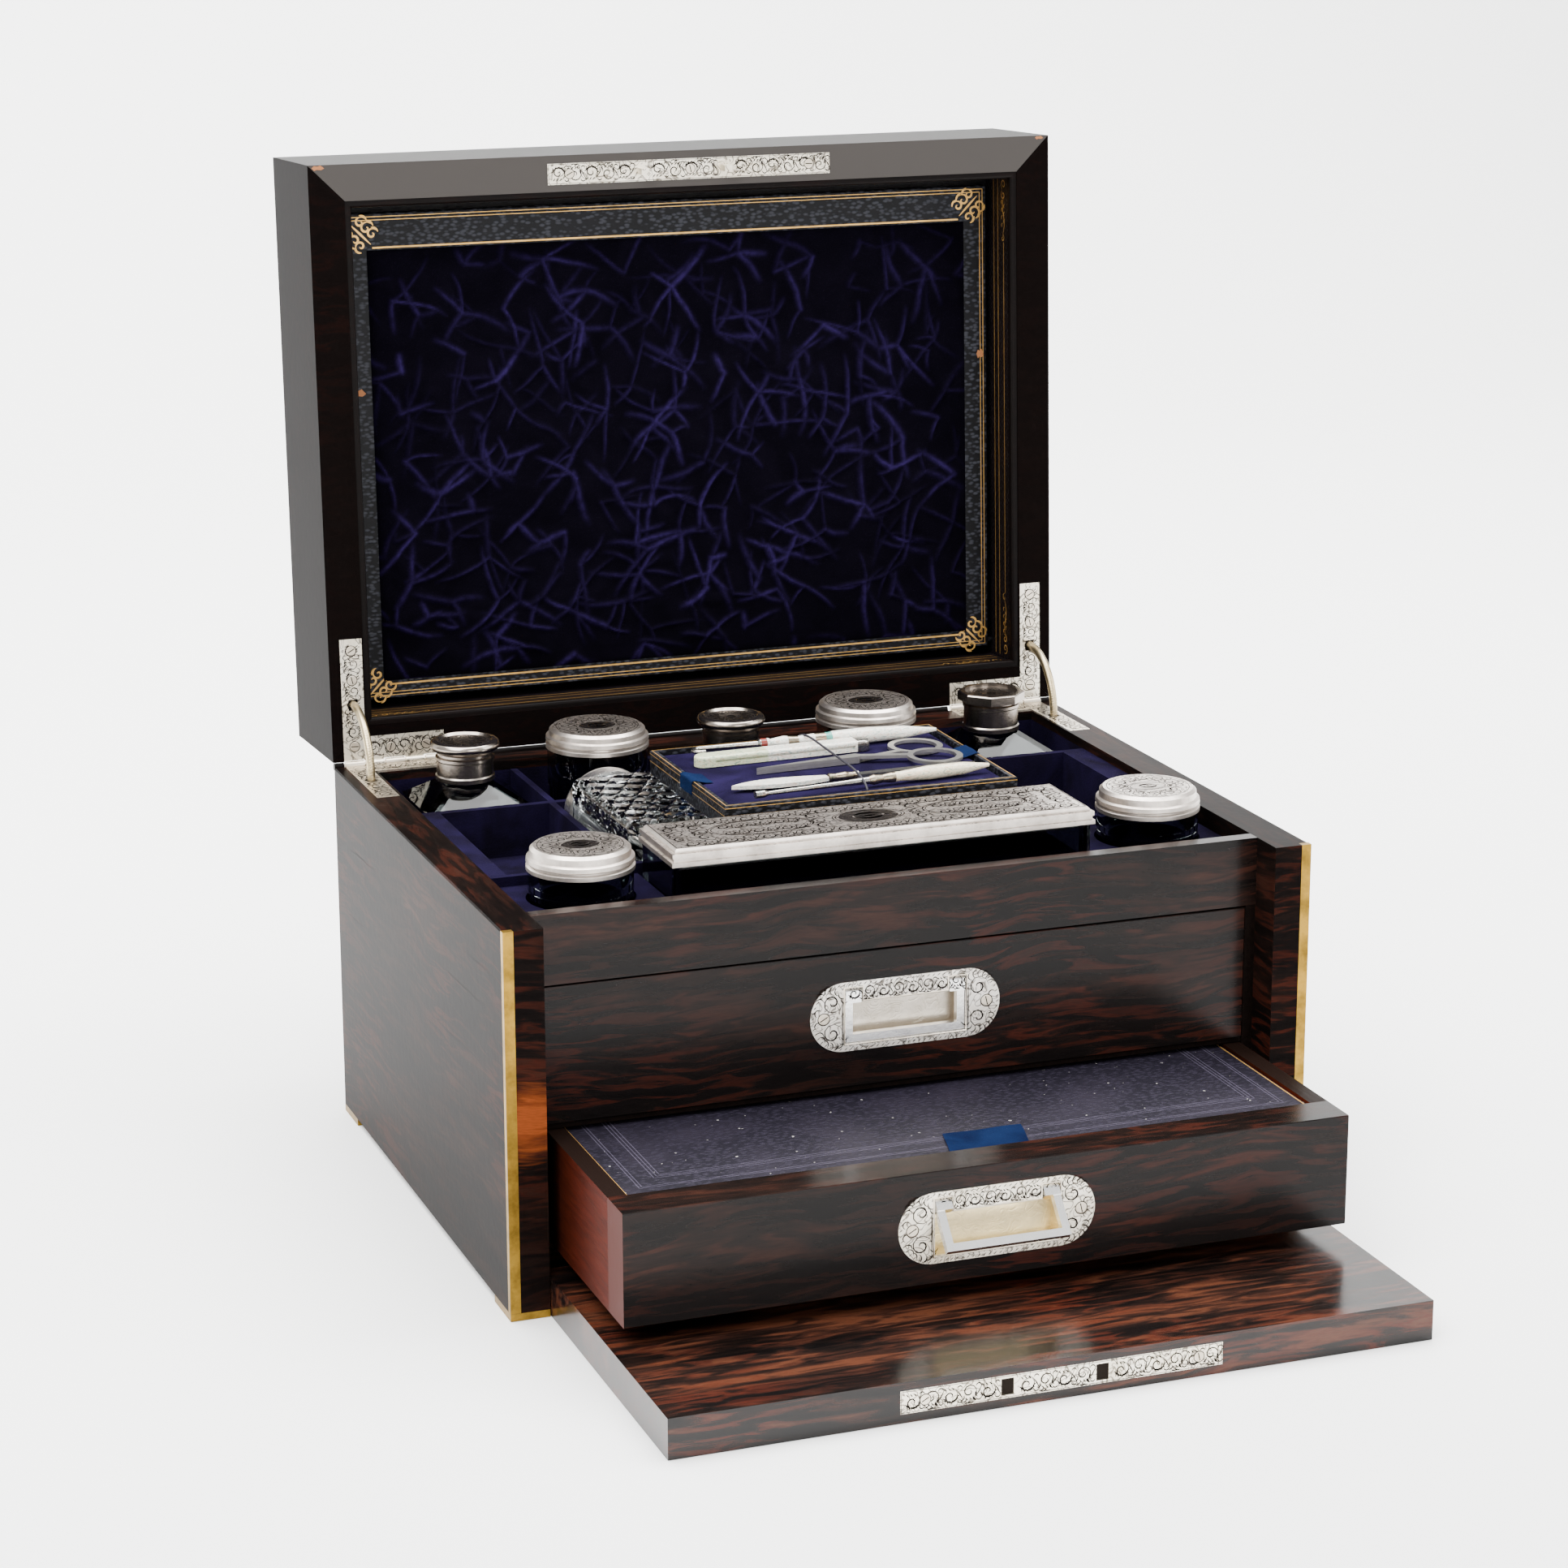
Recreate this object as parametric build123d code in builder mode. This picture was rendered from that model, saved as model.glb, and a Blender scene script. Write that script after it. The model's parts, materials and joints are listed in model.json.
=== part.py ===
from build123d import *
import os

# A Victorian fitted dressing box: a veneered case with a fall flap, two drawers and a
# velvet tray of silver-topped glass, under a lid with a ruched velvet panel.
# X runs to the right, Y to the back and Z up, from the middle of the base on the table.

# Case carcase
case_width = 340.0
case_depth = 257.0
case_height = 157.0
foot_height = 3.0
side_thickness = 16.0
back_thickness = 14.0
bottom_thickness = 11.0
bottom_inset = 12.0
arris = 0.6
seam = 0.1
fit = 0.4
run_gap = 0.3
strip_width = 4.2
strip_depth = 3.0
foot_length = 22.0

# Front rails and drawers
frieze_height = 28.4
frieze_thickness = 6.5
rail_thickness = 14.0
cheek_thickness = 4.5
runner_width = 10.0
dust_thickness = 1.8
drawer_gap = 0.8
rail_height = 21.2
upper_height = 55.6
behind_upper = 2.9
behind_lower = 4.6
lower_out = 93.4
drawer_front = 18.0
drawer_side = 7.5
drawer_base = 3.0
drawer_base_rise = 2.0
board_thickness = 3.0
board_recess = 1.4
ledge_width = 4.0
ledge_height = 6.0
tab_width = 36.0
tab_length = 20.0
tab_thickness = 0.7
tab_from_front = 19.0
tab_x = 5.0

# Swing handles let into the drawer fronts
plate_length = 81.0
plate_height = 28.6
plate_inlay = 1.0
plate_proud = 0.4
opening_width = 51.2
opening_top = 5.7
opening_bottom = -11.1
notch_width = 6.9
notch_top = 11.5
pan_depth = 8.0
pan_wall = 1.0
bail_bar = 3.1
bail_thickness = 2.8
bail_block = 4.0
bail_play = 0.2
trunnion_radius = 0.8
pin_clearance = 0.05
lower_bail_swing = 41.0
upper_handle_rise = 1.6

# Fall flap
flap_thickness = 16.0
flap_drop = 1.0
flap_pin_radius = 1.5
flap_pin_length = 18.0
lock_length = 129.5
lock_width = 9.0
lock_plate_thickness = 1.2
lock_body_length = 62.0
lock_body_depth = 20.0
lock_slot_left = -22.5
lock_slot_right = 15.6
lock_slot_width = 5.0
lock_slot_height = 6.5
lug_width = 3.4
lug_thickness = 2.6
lug_length = 8.0
lug_nib = 1.4

# Lid
lid_height = 64.0
lid_rim = 15.5
lid_board = 7.0
lid_gap = 0.3
lid_angle = 92.5
lining = 1.5
bead_width = 3.0
bead_set_in = 0.5
panel_depth = 26.0
panel_thickness = 5.0
panel_side_gap = 4.0
panel_from_hinge = 21.0
panel_to_front = 23.0
panel_pin_radius = 1.2
pad_thickness = 4.2
pad_border = 11.0
pad_side_border = 8.0
pad_clear = 0.3
fillet_width = 7.0
fillet_height = 4.0

# Hinges and quadrant stays
pivot_back = 1.6
pivot_rise = 0.15
leaf_thickness = 1.2
leaf_inset = 5.0
leaf_side_length = 54.0
leaf_side_width = 9.8
leaf_back_length = 45.0
leaf_back_width = 10.5
knuckle_radius = 1.8
knuckle_relief = 0.3
knuckle_count = 5
hinge_pin_radius = 0.9
stay_inset = 10.0
stay_outer = 28.5
stay_inner = 24.5
stay_rope = 1.7
stay_web = 1.4
stay_half_arc = 50.0
stay_slot_spare = 4.0
stay_play = 0.4

# Fitted tray
partition_drop = 4.0
partition = 3.0
tray_floor_thickness = 2.6
ledge_drop = 8.0
ledge_thickness = 4.0
side_packing = 11.0
front_row_depth = 60.6
back_row_depth = 56.2
well_wall_thickness = 3.5
well_count = 5
well_floor = 3.0
jar_depth = 42.1
left_well_width = 47.5
flask_well_width = 38.5
right_well_width = 61.0
tray_support_width = 5.0
stand_gap = 0.3

# Vessels
bottle_size = 46.0
bottle_shoulder_drop = 3.0
bottle_shoulder_rise = 8.2
bottle_neck_radius = 10.6
bottle_rise = 14.8
bottle_left_shift = 1.4
bottle_small_shift = -2.3
bottle_right_shift = -3.0
bottle_wall = 4.0
jar_radius = 21.7
jar_height = 56.5
jar_left_shift = -1.6
jar_right_shift = -0.9
jar_set = 0.5
pot_radius = 21.0
pot_height = 29.2
pot_left_in = 33.9
pot_right_in = 28.5
pots_from_frieze = 37.6
mouth_height = 4.5
mouth_clearance = 0.4
pot_lid_height = 9.4
jar_lid_height = 8.8
cap_radius = 15.0
cap_height = 17.2
cap_rim = 4.0
cap_dish = 1.4
cap_bead = 0.5
box_end_room = 64.25
box_width = 41.0
box_height = 31.5
box_wall = 4.5
box_lid_height = 7.0
box_lid_overhang = 0.8
box_x = 1.0
box_from_frieze = 36.6
flask_width = 36.0
flask_height = 36.0
flask_from_row = 2.5
flask_end_room = 5.0
flask_neck_radius = 13.4
flask_neck_length = 8.0
flask_cap_radius = 18.9
flask_cap_length = 13.0

# Manicure tray and its tools
tray_thickness = 22.0
tray_top_rise = 15.0
tray_wall = 2.5
tray_play = 0.6
tray_rim = 1.3
tool_gap = 0.25
cord_radius = 0.5
tool_height = 6.3

half_width = case_width / 2
front_y = -case_depth / 2
back_y = case_depth / 2
inner_x = half_width - side_thickness
face_y = front_y + flap_thickness + fit
inside_back_y = back_y - back_thickness
rim_z = case_height

frieze_z = rim_z - frieze_height
upper_top = frieze_z - drawer_gap
upper_z = upper_top - upper_height
dust_top = upper_z - run_gap
dust_z = dust_top - dust_thickness
lower_top = dust_z - fit
runner_top = foot_height + rail_height
lower_z = runner_top + run_gap
lower_height = lower_top - lower_z
drawer_half = inner_x - cheek_thickness - fit

pivot_y = back_y + pivot_back
pivot_z = rim_z + pivot_rise
lid_hinge = Axis((0, pivot_y, pivot_z), (1, 0, 0))
lid_z = rim_z + lid_gap
lid_top_z = lid_z + lid_height
lid_ceiling = lid_top_z - lid_board
panel_half_width = half_width - lid_rim - panel_side_gap

flap_axis_y = front_y + flap_thickness / 2
flap_axis_z = flap_thickness / 2
flap_half = inner_x - fit
flap_length = case_height - flap_drop
flap_back = flap_axis_y + flap_thickness / 2
flap_front = flap_back - flap_length

partition_top = rim_z - partition_drop
tray_floor_top = frieze_z + tray_floor_thickness
ledge_top = rim_z - ledge_drop
frieze_back = face_y + frieze_thickness
front_row_back = frieze_back + front_row_depth
well_wall_back = inside_back_y - back_row_depth
well_wall_front = well_wall_back - well_wall_thickness
flask_well_left = side_packing - inner_x + left_well_width + partition
centre_well_left = flask_well_left + flask_well_width + partition
centre_well_right = inner_x - side_packing - right_well_width - partition
upper_depth = well_wall_front - face_y - behind_upper
lower_depth = inside_back_y - face_y - behind_lower
wells_floor_top = dust_top + well_floor
well_pitch = (2 * inner_x + partition) / well_count
stand_z = tray_floor_top + stand_gap
back_stand_z = wells_floor_top + stand_gap
jar_block_height = partition_top - jar_depth - wells_floor_top
jar_stand_z = wells_floor_top + jar_block_height + stand_gap
back_row_y = (well_wall_back + inside_back_y) / 2
bottle_shoulder = partition_top - bottle_shoulder_drop - back_stand_z
bottle_height = partition_top + bottle_rise - back_stand_z
box_length = 2 * (inner_x - box_end_room)
box_y = frieze_back + box_from_frieze
flask_front = front_row_back + partition + flask_from_row
flask_length = well_wall_front - flask_end_room - flask_cap_length - run_gap - flask_front


def save(piece, name):
    piece.part.label = name
    export_step(piece.part, f"parts/{name}.step")


def board(x, y, z, mode=Mode.ADD):
    """A rectangular board between two places on each axis."""
    place = (sum(x) / 2, sum(y) / 2, sum(z) / 2)
    with Locations(place):
        Box(abs(x[1] - x[0]), abs(y[1] - y[0]), abs(z[1] - z[0]), mode=mode)


def rod(start, length, radius, mode=Mode.ADD):
    """A round rod that runs along X from its start."""
    across = Plane(origin=start, x_dir=(0, 1, 0), z_dir=(1, 0, 0))
    with BuildSketch(across) as section:
        Circle(radius)
    extrude(section.sketch, amount=length, mode=mode)


def opened(closed):
    """A piece of the lid, swung open about the hinge pins."""
    with BuildPart() as turned:
        add(closed.part.rotate(lid_hinge, -lid_angle))
    return turned


# ---------------------------------------------------------------- hinges and stays


def stay_mortise(hand, low, high):
    """Cut the curved mortise of a stay between two angles above the rim."""
    width = 2 * (stay_rope + stay_play)
    start = hand * (half_width - stay_inset) - width / 2
    with BuildSketch(Plane.YZ.offset(start)) as sector:
        with BuildLine():
            outer = CenterArc((pivot_y, pivot_z), stay_outer + stay_play, 180 - high, high - low)
            inner = CenterArc((pivot_y, pivot_z), stay_inner - stay_play, 180 - high, high - low)
            Line(outer @ 0, inner @ 0)
            Line(outer @ 1, inner @ 1)
        make_face()
    extrude(sector.sketch, amount=width, mode=Mode.SUBTRACT)


def leaf_plate(hand, z, mode=Mode.ADD):
    """The two legs of a right-angled hinge leaf, let in flush with a rim."""
    outer = hand * (half_width - leaf_inset)
    board((outer, outer - hand * leaf_side_width), (back_y - leaf_side_length, back_y), z, mode)
    board((outer, outer - hand * leaf_back_length), (back_y - leaf_back_width, back_y), z, mode)


def knuckle_rod(hand, first, last, radius, mode=Mode.ADD):
    """A length of the hinge barrel, between two shares of the leaf's back leg."""
    outer = half_width - leaf_inset
    near = outer - leaf_back_length * first
    far = outer - leaf_back_length * last
    start = far if hand > 0 else -near
    rod((start, pivot_y, pivot_z), near - far, radius, mode)


def hinge_relief(hand):
    knuckle_rod(hand, 0, 1, knuckle_radius + knuckle_relief, Mode.SUBTRACT)


def hinge_leaf(hand, z, first_knuckle, slot_low, slot_high):
    """A leaf with every second knuckle of the barrel."""
    leaf_plate(hand, z)
    hinge_relief(hand)
    share = 1 / knuckle_count
    slack = knuckle_relief / leaf_back_length
    outer = hand * (half_width - leaf_inset)
    for number in range(first_knuckle, knuckle_count, 2):
        first = number * share + slack
        last = (number + 1) * share - slack
        near = outer - hand * leaf_back_length * first
        far = outer - hand * leaf_back_length * last
        knuckle_rod(hand, first, last, knuckle_radius)
        board((near, far), (back_y - 2 * knuckle_radius, pivot_y), z)
    knuckle_rod(hand, 0, 1, hinge_pin_radius + pin_clearance, Mode.SUBTRACT)
    stay_mortise(hand, slot_low, slot_high)


def case_hinges():
    with BuildPart() as piece:
        for hand in (-1, 1):
            hinge_leaf(hand, (rim_z - leaf_thickness, rim_z), 0, -2 * stay_slot_spare, stay_slot_spare)
        for hand in (-1, 1):
            knuckle_rod(hand, 0, 1, hinge_pin_radius)
    return piece


def lid_hinges():
    with BuildPart() as piece:
        for hand in (-1, 1):
            hinge_leaf(hand, (lid_z, lid_z + leaf_thickness), 1, -stay_slot_spare, 2 * stay_slot_spare)
    return piece


def stay(hand):
    """A quadrant stay: a roped rim on a thin web, curved about the hinge pins."""
    start = -(stay_half_arc - lid_angle / 2)
    swing = Axis((0, pivot_y, pivot_z), (1, 0, 0))
    middle = hand * (half_width - stay_inset)
    rope_at = stay_outer - stay_rope
    with BuildPart() as piece:
        with BuildSketch(Plane.XY.offset(pivot_z)):
            with Locations((middle, pivot_y - rope_at)):
                Circle(stay_rope)
            with Locations((middle, pivot_y - (rope_at + stay_inner) / 2)):
                Rectangle(stay_web, rope_at - stay_inner)
        revolve(axis=swing, revolution_arc=-2 * stay_half_arc)
    with BuildPart() as placed:
        add(piece.part.rotate(swing, -start))
    return placed


# ---------------------------------------------------------------- case


def side_board(hand):
    with BuildPart() as piece:
        board((hand * half_width, hand * inner_x), (front_y, back_y), (foot_height, rim_z))
        outer = piece.edges().filter_by(Axis.Y).group_by(Axis.Z)[-1].sort_by(Axis.X)
        chamfer(outer[-1] if hand > 0 else outer[0], arris)
        corner = (hand * half_width, hand * (half_width - strip_width))
        board(corner, (front_y, front_y + strip_depth), (foot_height, rim_z), Mode.SUBTRACT)
        leaf_plate(hand, (rim_z - leaf_thickness, rim_z), Mode.SUBTRACT)
        hinge_relief(hand)
        stay_mortise(hand, -stay_half_arc - stay_slot_spare, stay_slot_spare)
        reach = flap_pin_length / 2
        start = inner_x if hand > 0 else -inner_x - reach
        rod((start, flap_axis_y, flap_axis_z), reach, flap_pin_radius + pin_clearance, Mode.SUBTRACT)
    return piece


def back_panel():
    with BuildPart() as piece:
        board((-inner_x, inner_x), (inside_back_y, back_y), (foot_height, rim_z))
        for hand in (-1, 1):
            leaf_plate(hand, (rim_z - leaf_thickness, rim_z), Mode.SUBTRACT)
            hinge_relief(hand)
    return piece


def bottom_board():
    """The planted bottom: its step stands on the table, level with the brass feet."""
    step_y = back_y - bottom_inset
    with BuildPart() as piece:
        board((-inner_x, inner_x), (face_y + bottom_inset, step_y), (0, foot_height))
        board((-inner_x, inner_x), (face_y + rail_thickness, inside_back_y),
              (foot_height, foot_height + bottom_thickness))
    return piece


def front_rails():
    with BuildPart() as piece:
        board((-inner_x, inner_x), (face_y, frieze_back), (frieze_z, rim_z))
        board((-inner_x, inner_x), (face_y, face_y + rail_thickness), (foot_height, runner_top - seam))
    return piece


def drawer_guides():
    """The cheeks that show beside the drawers, the lower drawer's runners, and the dust board."""
    low = foot_height + bottom_thickness
    reach = inner_x - cheek_thickness - seam
    with BuildPart() as piece:
        for hand in (-1, 1):
            cheek = hand * (inner_x - cheek_thickness)
            board((hand * inner_x, cheek), (face_y + seam, face_y + rail_thickness),
                  (runner_top, frieze_z))
            board((hand * inner_x, cheek), (face_y + rail_thickness + seam, well_wall_front - seam),
                  (low, frieze_z))
            board((hand * inner_x, cheek), (well_wall_front, inside_back_y), (low, dust_z))
            near = cheek - hand * seam
            board((near, near - hand * runner_width),
                  (face_y + rail_thickness, inside_back_y), (low, runner_top))
        board((-reach, reach), (face_y + drawer_gap, inside_back_y), (dust_z, dust_top))
    return piece


def brass_edging():
    with BuildPart() as piece:
        for hand in (-1, 1):
            edge = (hand * half_width, hand * (half_width - strip_width))
            stile = (hand * half_width, hand * inner_x)
            board(edge, (front_y, front_y + strip_depth - seam), (foot_height + seam, rim_z))
            board(stile, (front_y, front_y + foot_length), (0, foot_height))
            board(stile, (back_y - foot_length, back_y), (0, foot_height))
    return piece


# ---------------------------------------------------------------- fitted tray


def front_compartments():
    """The floor of the front wells, and the velvet-covered boards that part them."""
    row = (front_row_back + partition, well_wall_front - seam)
    tall = (tray_floor_top + seam, partition_top)
    packing = inner_x - side_packing
    support = (tray_floor_top + seam, partition_top + tray_top_rise - tray_thickness + partition_drop - run_gap)
    with BuildPart() as piece:
        board((-inner_x, inner_x), (frieze_back, well_wall_front - seam), (frieze_z, tray_floor_top))
        board((-inner_x, inner_x), (front_row_back, front_row_back + partition - seam), tall)
        for hand in (-1, 1):
            board((hand * inner_x, hand * packing), row, tall)
        board((flask_well_left, flask_well_left - partition), row, tall)
        board((centre_well_left, centre_well_left - partition), row, tall)
        board((centre_well_right, centre_well_right + partition), row, tall)
        for wall, inward in ((centre_well_left, 1), (centre_well_right, -1)):
            near = wall + inward * seam
            board((near, near + inward * tray_support_width), row, support)
    return piece


def front_ledge():
    """The velvet ledge of the front row: a collar round each pot, and a strip by the long box."""
    row = (frieze_back, front_row_back - seam)
    deep = (ledge_top - ledge_thickness, ledge_top)
    box_edge = box_length / 2 + fit
    box_front = box_y - box_width / 2 - fit
    with BuildPart() as piece:
        board((-inner_x, box_x - box_edge), row, deep)
        board((box_x + box_edge, inner_x), row, deep)
        board((box_x - box_edge + seam, box_x + box_edge - seam), (frieze_back, box_front), deep)
        for spot in (pot_left_at, pot_right_at):
            with BuildSketch(Plane.XY.offset(deep[0])):
                with Locations(spot):
                    Circle(pot_radius + 2 * fit)
            extrude(amount=ledge_thickness, mode=Mode.SUBTRACT)
    return piece


def back_compartments():
    """The deep wells of the back row, behind the upper drawer."""
    row = (well_wall_back + seam, inside_back_y)
    above_floor = (wells_floor_top + seam, partition_top)
    with BuildPart() as piece:
        board((-inner_x, inner_x), (well_wall_front, well_wall_back), (dust_top, partition_top))
        board((-inner_x, inner_x), row, (dust_top, wells_floor_top))
        for number in range(1, well_count):
            near = -inner_x + number * well_pitch - partition
            board((near, near + partition), row, above_floor)
        block = well_pitch / 2 - partition / 2 - seam
        for place in (-well_pitch, well_pitch):
            board((place - block, place + block), row,
                  (wells_floor_top + seam, wells_floor_top + jar_block_height))
    return piece


# ---------------------------------------------------------------- lid, in its closed place


def mitred_sides():
    """Four boards of the lid, mitred at the corners."""
    with BuildPart() as piece:
        with BuildSketch(Plane.XY.offset(lid_z)):
            for hand in (-1, 1):
                x_out = hand * half_width
                x_in = hand * (half_width - lid_rim)
                y_out = hand * back_y
                y_in = hand * (back_y - lid_rim)
                with BuildLine():
                    Polyline((x_out, back_y - seam), (x_out, front_y + seam),
                             (x_in, front_y + lid_rim + seam), (x_in, back_y - lid_rim - seam), close=True)
                make_face()
                with BuildLine():
                    Polyline((half_width - seam, y_out), (-half_width + seam, y_out),
                             (-half_width + lid_rim + seam, y_in), (half_width - lid_rim - seam, y_in),
                             close=True)
                make_face()
        extrude(amount=lid_height - lid_board)
        lock_y = front_y + flap_thickness / 2
        board((-lock_length / 2, lock_length / 2), (lock_y - lock_width / 2, lock_y + lock_width / 2),
              (lid_z, lid_z + lock_plate_thickness), Mode.SUBTRACT)
        for hand in (-1, 1):
            leaf_plate(hand, (lid_z, lid_z + leaf_thickness), Mode.SUBTRACT)
            hinge_relief(hand)
            stay_mortise(hand, -stay_slot_spare, stay_half_arc + stay_slot_spare)
    return piece


def lid_top():
    with BuildPart() as piece:
        board((-half_width, half_width), (front_y, back_y), (lid_ceiling, lid_top_z))
        chamfer(piece.edges().group_by(Axis.Z)[-1], 2 * arris)
    return piece


def lid_bead():
    """The polished bead round the mouth of the lid's well."""
    with BuildPart() as piece:
        with BuildSketch(Plane.XY.offset(lid_z + bead_set_in)):
            Rectangle(case_width - 2 * lid_rim, case_depth - 2 * lid_rim)
            Rectangle(case_width - 2 * (lid_rim + bead_width), case_depth - 2 * (lid_rim + bead_width),
                      mode=Mode.SUBTRACT)
        extrude(amount=bead_width)
        mouth = piece.faces().sort_by(Axis.Z)[0]
        fillet(mouth.inner_wires()[0].edges(), bead_width / 2)
    return piece


def lid_lining():
    """Leather-covered walls and ceiling of the lid's well, and the fillets behind the panel."""
    x_wall = half_width - lid_rim
    y_wall = back_y - lid_rim
    low = lid_z + bead_set_in + bead_width
    high = lid_ceiling - lining
    stop = lid_z + panel_depth + panel_thickness + run_gap
    stop_z = (stop, stop + fillet_height)
    pin_y = back_y - panel_from_hinge - panel_thickness / 2
    pin_z = lid_z + panel_depth + panel_thickness / 2
    inside = y_wall - lining - seam
    with BuildPart() as piece:
        board((-x_wall, x_wall), (-y_wall, y_wall), (high + seam, lid_ceiling))
        for hand in (-1, 1):
            board((-x_wall, x_wall), (hand * y_wall, hand * (y_wall - lining)), (low, high))
            board((hand * x_wall, hand * (x_wall - lining)), (-inside, inside), (low, high))
            edge = x_wall - lining - seam
            board((hand * edge, hand * (edge - fillet_width)),
                  (-inside + fillet_width + seam, inside - 2 * fillet_width), stop_z)
        board((-edge, edge), (-inside, -inside + fillet_width), stop_z)
        rod((-x_wall, pin_y, pin_z), 2 * x_wall, panel_pin_radius + fit, Mode.SUBTRACT)
    return piece


def lid_lock_plate():
    """The lid's half of the lock: an engraved plate with two hooked lugs."""
    lock_y = front_y + flap_thickness / 2
    with BuildPart() as piece:
        board((-lock_length / 2, lock_length / 2), (lock_y - lock_width / 2, lock_y + lock_width / 2),
              (lid_z, lid_z + lock_plate_thickness))
        across = Plane(origin=(0, lock_y + lug_thickness / 2, lid_z), x_dir=(1, 0, 0), z_dir=(0, -1, 0))
        for slot in (lock_slot_left, lock_slot_right):
            left = slot - lug_width / 2
            right = slot + lug_width / 2
            with BuildSketch(across):
                with BuildLine():
                    Polyline((left, lock_plate_thickness / 2), (left, -lug_length / 2),
                             (left - lug_nib / 2, -lug_length * 0.6), (left - lug_nib / 2, -lug_length),
                             (right - lug_nib / 2, -lug_length), (right, -lug_length * 0.8),
                             (right, lock_plate_thickness / 2), close=True)
                make_face()
            extrude(amount=lug_thickness)
    return piece


def lid_panel():
    """The leather-covered board behind the ruched velvet, hung on two pins at its lower edge."""
    back_edge = back_y - panel_from_hinge
    pin_y = back_edge - panel_thickness / 2
    pin_z = lid_z + panel_depth + panel_thickness / 2
    reach = half_width - lid_rim - 2 * seam
    with BuildPart() as piece:
        board((-panel_half_width, panel_half_width), (front_y + panel_to_front, back_edge),
              (lid_z + panel_depth, lid_z + panel_depth + panel_thickness))
        chamfer(piece.edges().group_by(Axis.Z)[0], arris)
        rod((-reach, pin_y, pin_z), 2 * reach, panel_pin_radius)
    return piece


def panel_pad():
    """The ruched velvet: a crowned pad with drawn-in sides."""
    side = panel_half_width - pad_border
    back_edge = back_y - panel_from_hinge - pad_side_border
    front_edge = front_y + panel_to_front + pad_border + fit
    base = lid_z + panel_depth - pad_clear
    middle = (back_edge + front_edge) / 2
    long = 2 * side
    wide = back_edge - front_edge
    crown = pad_thickness * 0.7
    with BuildPart() as piece:
        with BuildSketch(Plane.XY.offset(base)):
            with Locations((0, middle)):
                RectangleRounded(long, wide, pad_border / 2)
        with BuildSketch(Plane.XY.offset(base - crown)):
            with Locations((0, middle)):
                RectangleRounded(long - crown, wide - crown, pad_border / 2)
        with BuildSketch(Plane.XY.offset(base - pad_thickness)):
            with Locations((0, middle)):
                RectangleRounded(long - 3 * pad_border, wide - 3 * pad_border, pad_border / 2)
        loft(ruled=True)
    return piece


# ---------------------------------------------------------------- flap


def flap_board():
    lock_y = flap_front + lock_plate_thickness
    with BuildPart() as piece:
        with BuildSketch(Plane.YZ.offset(-flap_half)):
            with BuildLine():
                Line((flap_front, 0), (flap_axis_y, 0))
                CenterArc((flap_axis_y, flap_axis_z), flap_thickness / 2, -90, 180)
                Line((flap_axis_y, flap_thickness), (flap_front, flap_thickness))
                Line((flap_front, flap_thickness), (flap_front, 0))
            make_face()
        extrude(amount=2 * flap_half)
        board((-lock_length / 2, lock_length / 2), (flap_front, lock_y),
              (flap_axis_z - lock_width / 2, flap_axis_z + lock_width / 2), Mode.SUBTRACT)
        board((-lock_body_length / 2, lock_body_length / 2), (lock_y, lock_y + lock_body_depth),
              (flap_axis_z - lock_width / 2, flap_axis_z + lock_width / 2), Mode.SUBTRACT)
        for hand in (-1, 1):
            start = flap_half - flap_pin_length / 2 if hand > 0 else -flap_half
            rod((start, flap_axis_y, flap_axis_z), flap_pin_length / 2,
                flap_pin_radius + pin_clearance, Mode.SUBTRACT)
    return piece


def flap_lock():
    """The engraved plate on the flap's free edge, with the lock behind it."""
    lock_y = flap_front + lock_plate_thickness
    high = (flap_axis_z - lock_width / 2, flap_axis_z + lock_width / 2)
    with BuildPart() as piece:
        board((-lock_length / 2, lock_length / 2), (flap_front, lock_y), high)
        board((-lock_body_length / 2, lock_body_length / 2), (lock_y, lock_y + lock_body_depth), high)
        for slot in (lock_slot_left, lock_slot_right):
            board((slot - lock_slot_width / 2, slot + lock_slot_width / 2),
                  (flap_front, flap_front + lug_length + lock_plate_thickness),
                  (flap_axis_z - lock_slot_height / 2, flap_axis_z + lock_slot_height / 2), Mode.SUBTRACT)
    return piece


def flap_pins():
    reach = flap_pin_length / 2 - fit
    with BuildPart() as piece:
        for hand in (-1, 1):
            start = flap_half - reach if hand > 0 else -flap_half - reach - fit
            rod((start, flap_axis_y, flap_axis_z), 2 * reach + fit, flap_pin_radius)
    return piece


# ---------------------------------------------------------------- drawers


def handle_opening(depth):
    """Cut the finger pan: a rectangle with a notch at each top corner for the bail's blocks."""
    tall = opening_top - opening_bottom
    with BuildSketch(Plane.XY) as outline:
        with Locations((0, (opening_top + opening_bottom) / 2)):
            Rectangle(opening_width, tall)
        for hand in (-1, 1):
            with Locations((hand * (opening_width - notch_width) / 2, (opening_bottom + notch_top) / 2)):
                Rectangle(notch_width, notch_top - opening_bottom)
    extrude(outline.sketch, amount=-depth, mode=Mode.SUBTRACT)


def handle_place(y, z):
    """The plane of a handle plate's face: x along the plate, z out of the drawer."""
    return Plane(origin=(0, y - plate_proud, z), x_dir=(1, 0, 0), z_dir=(0, -1, 0))


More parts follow.
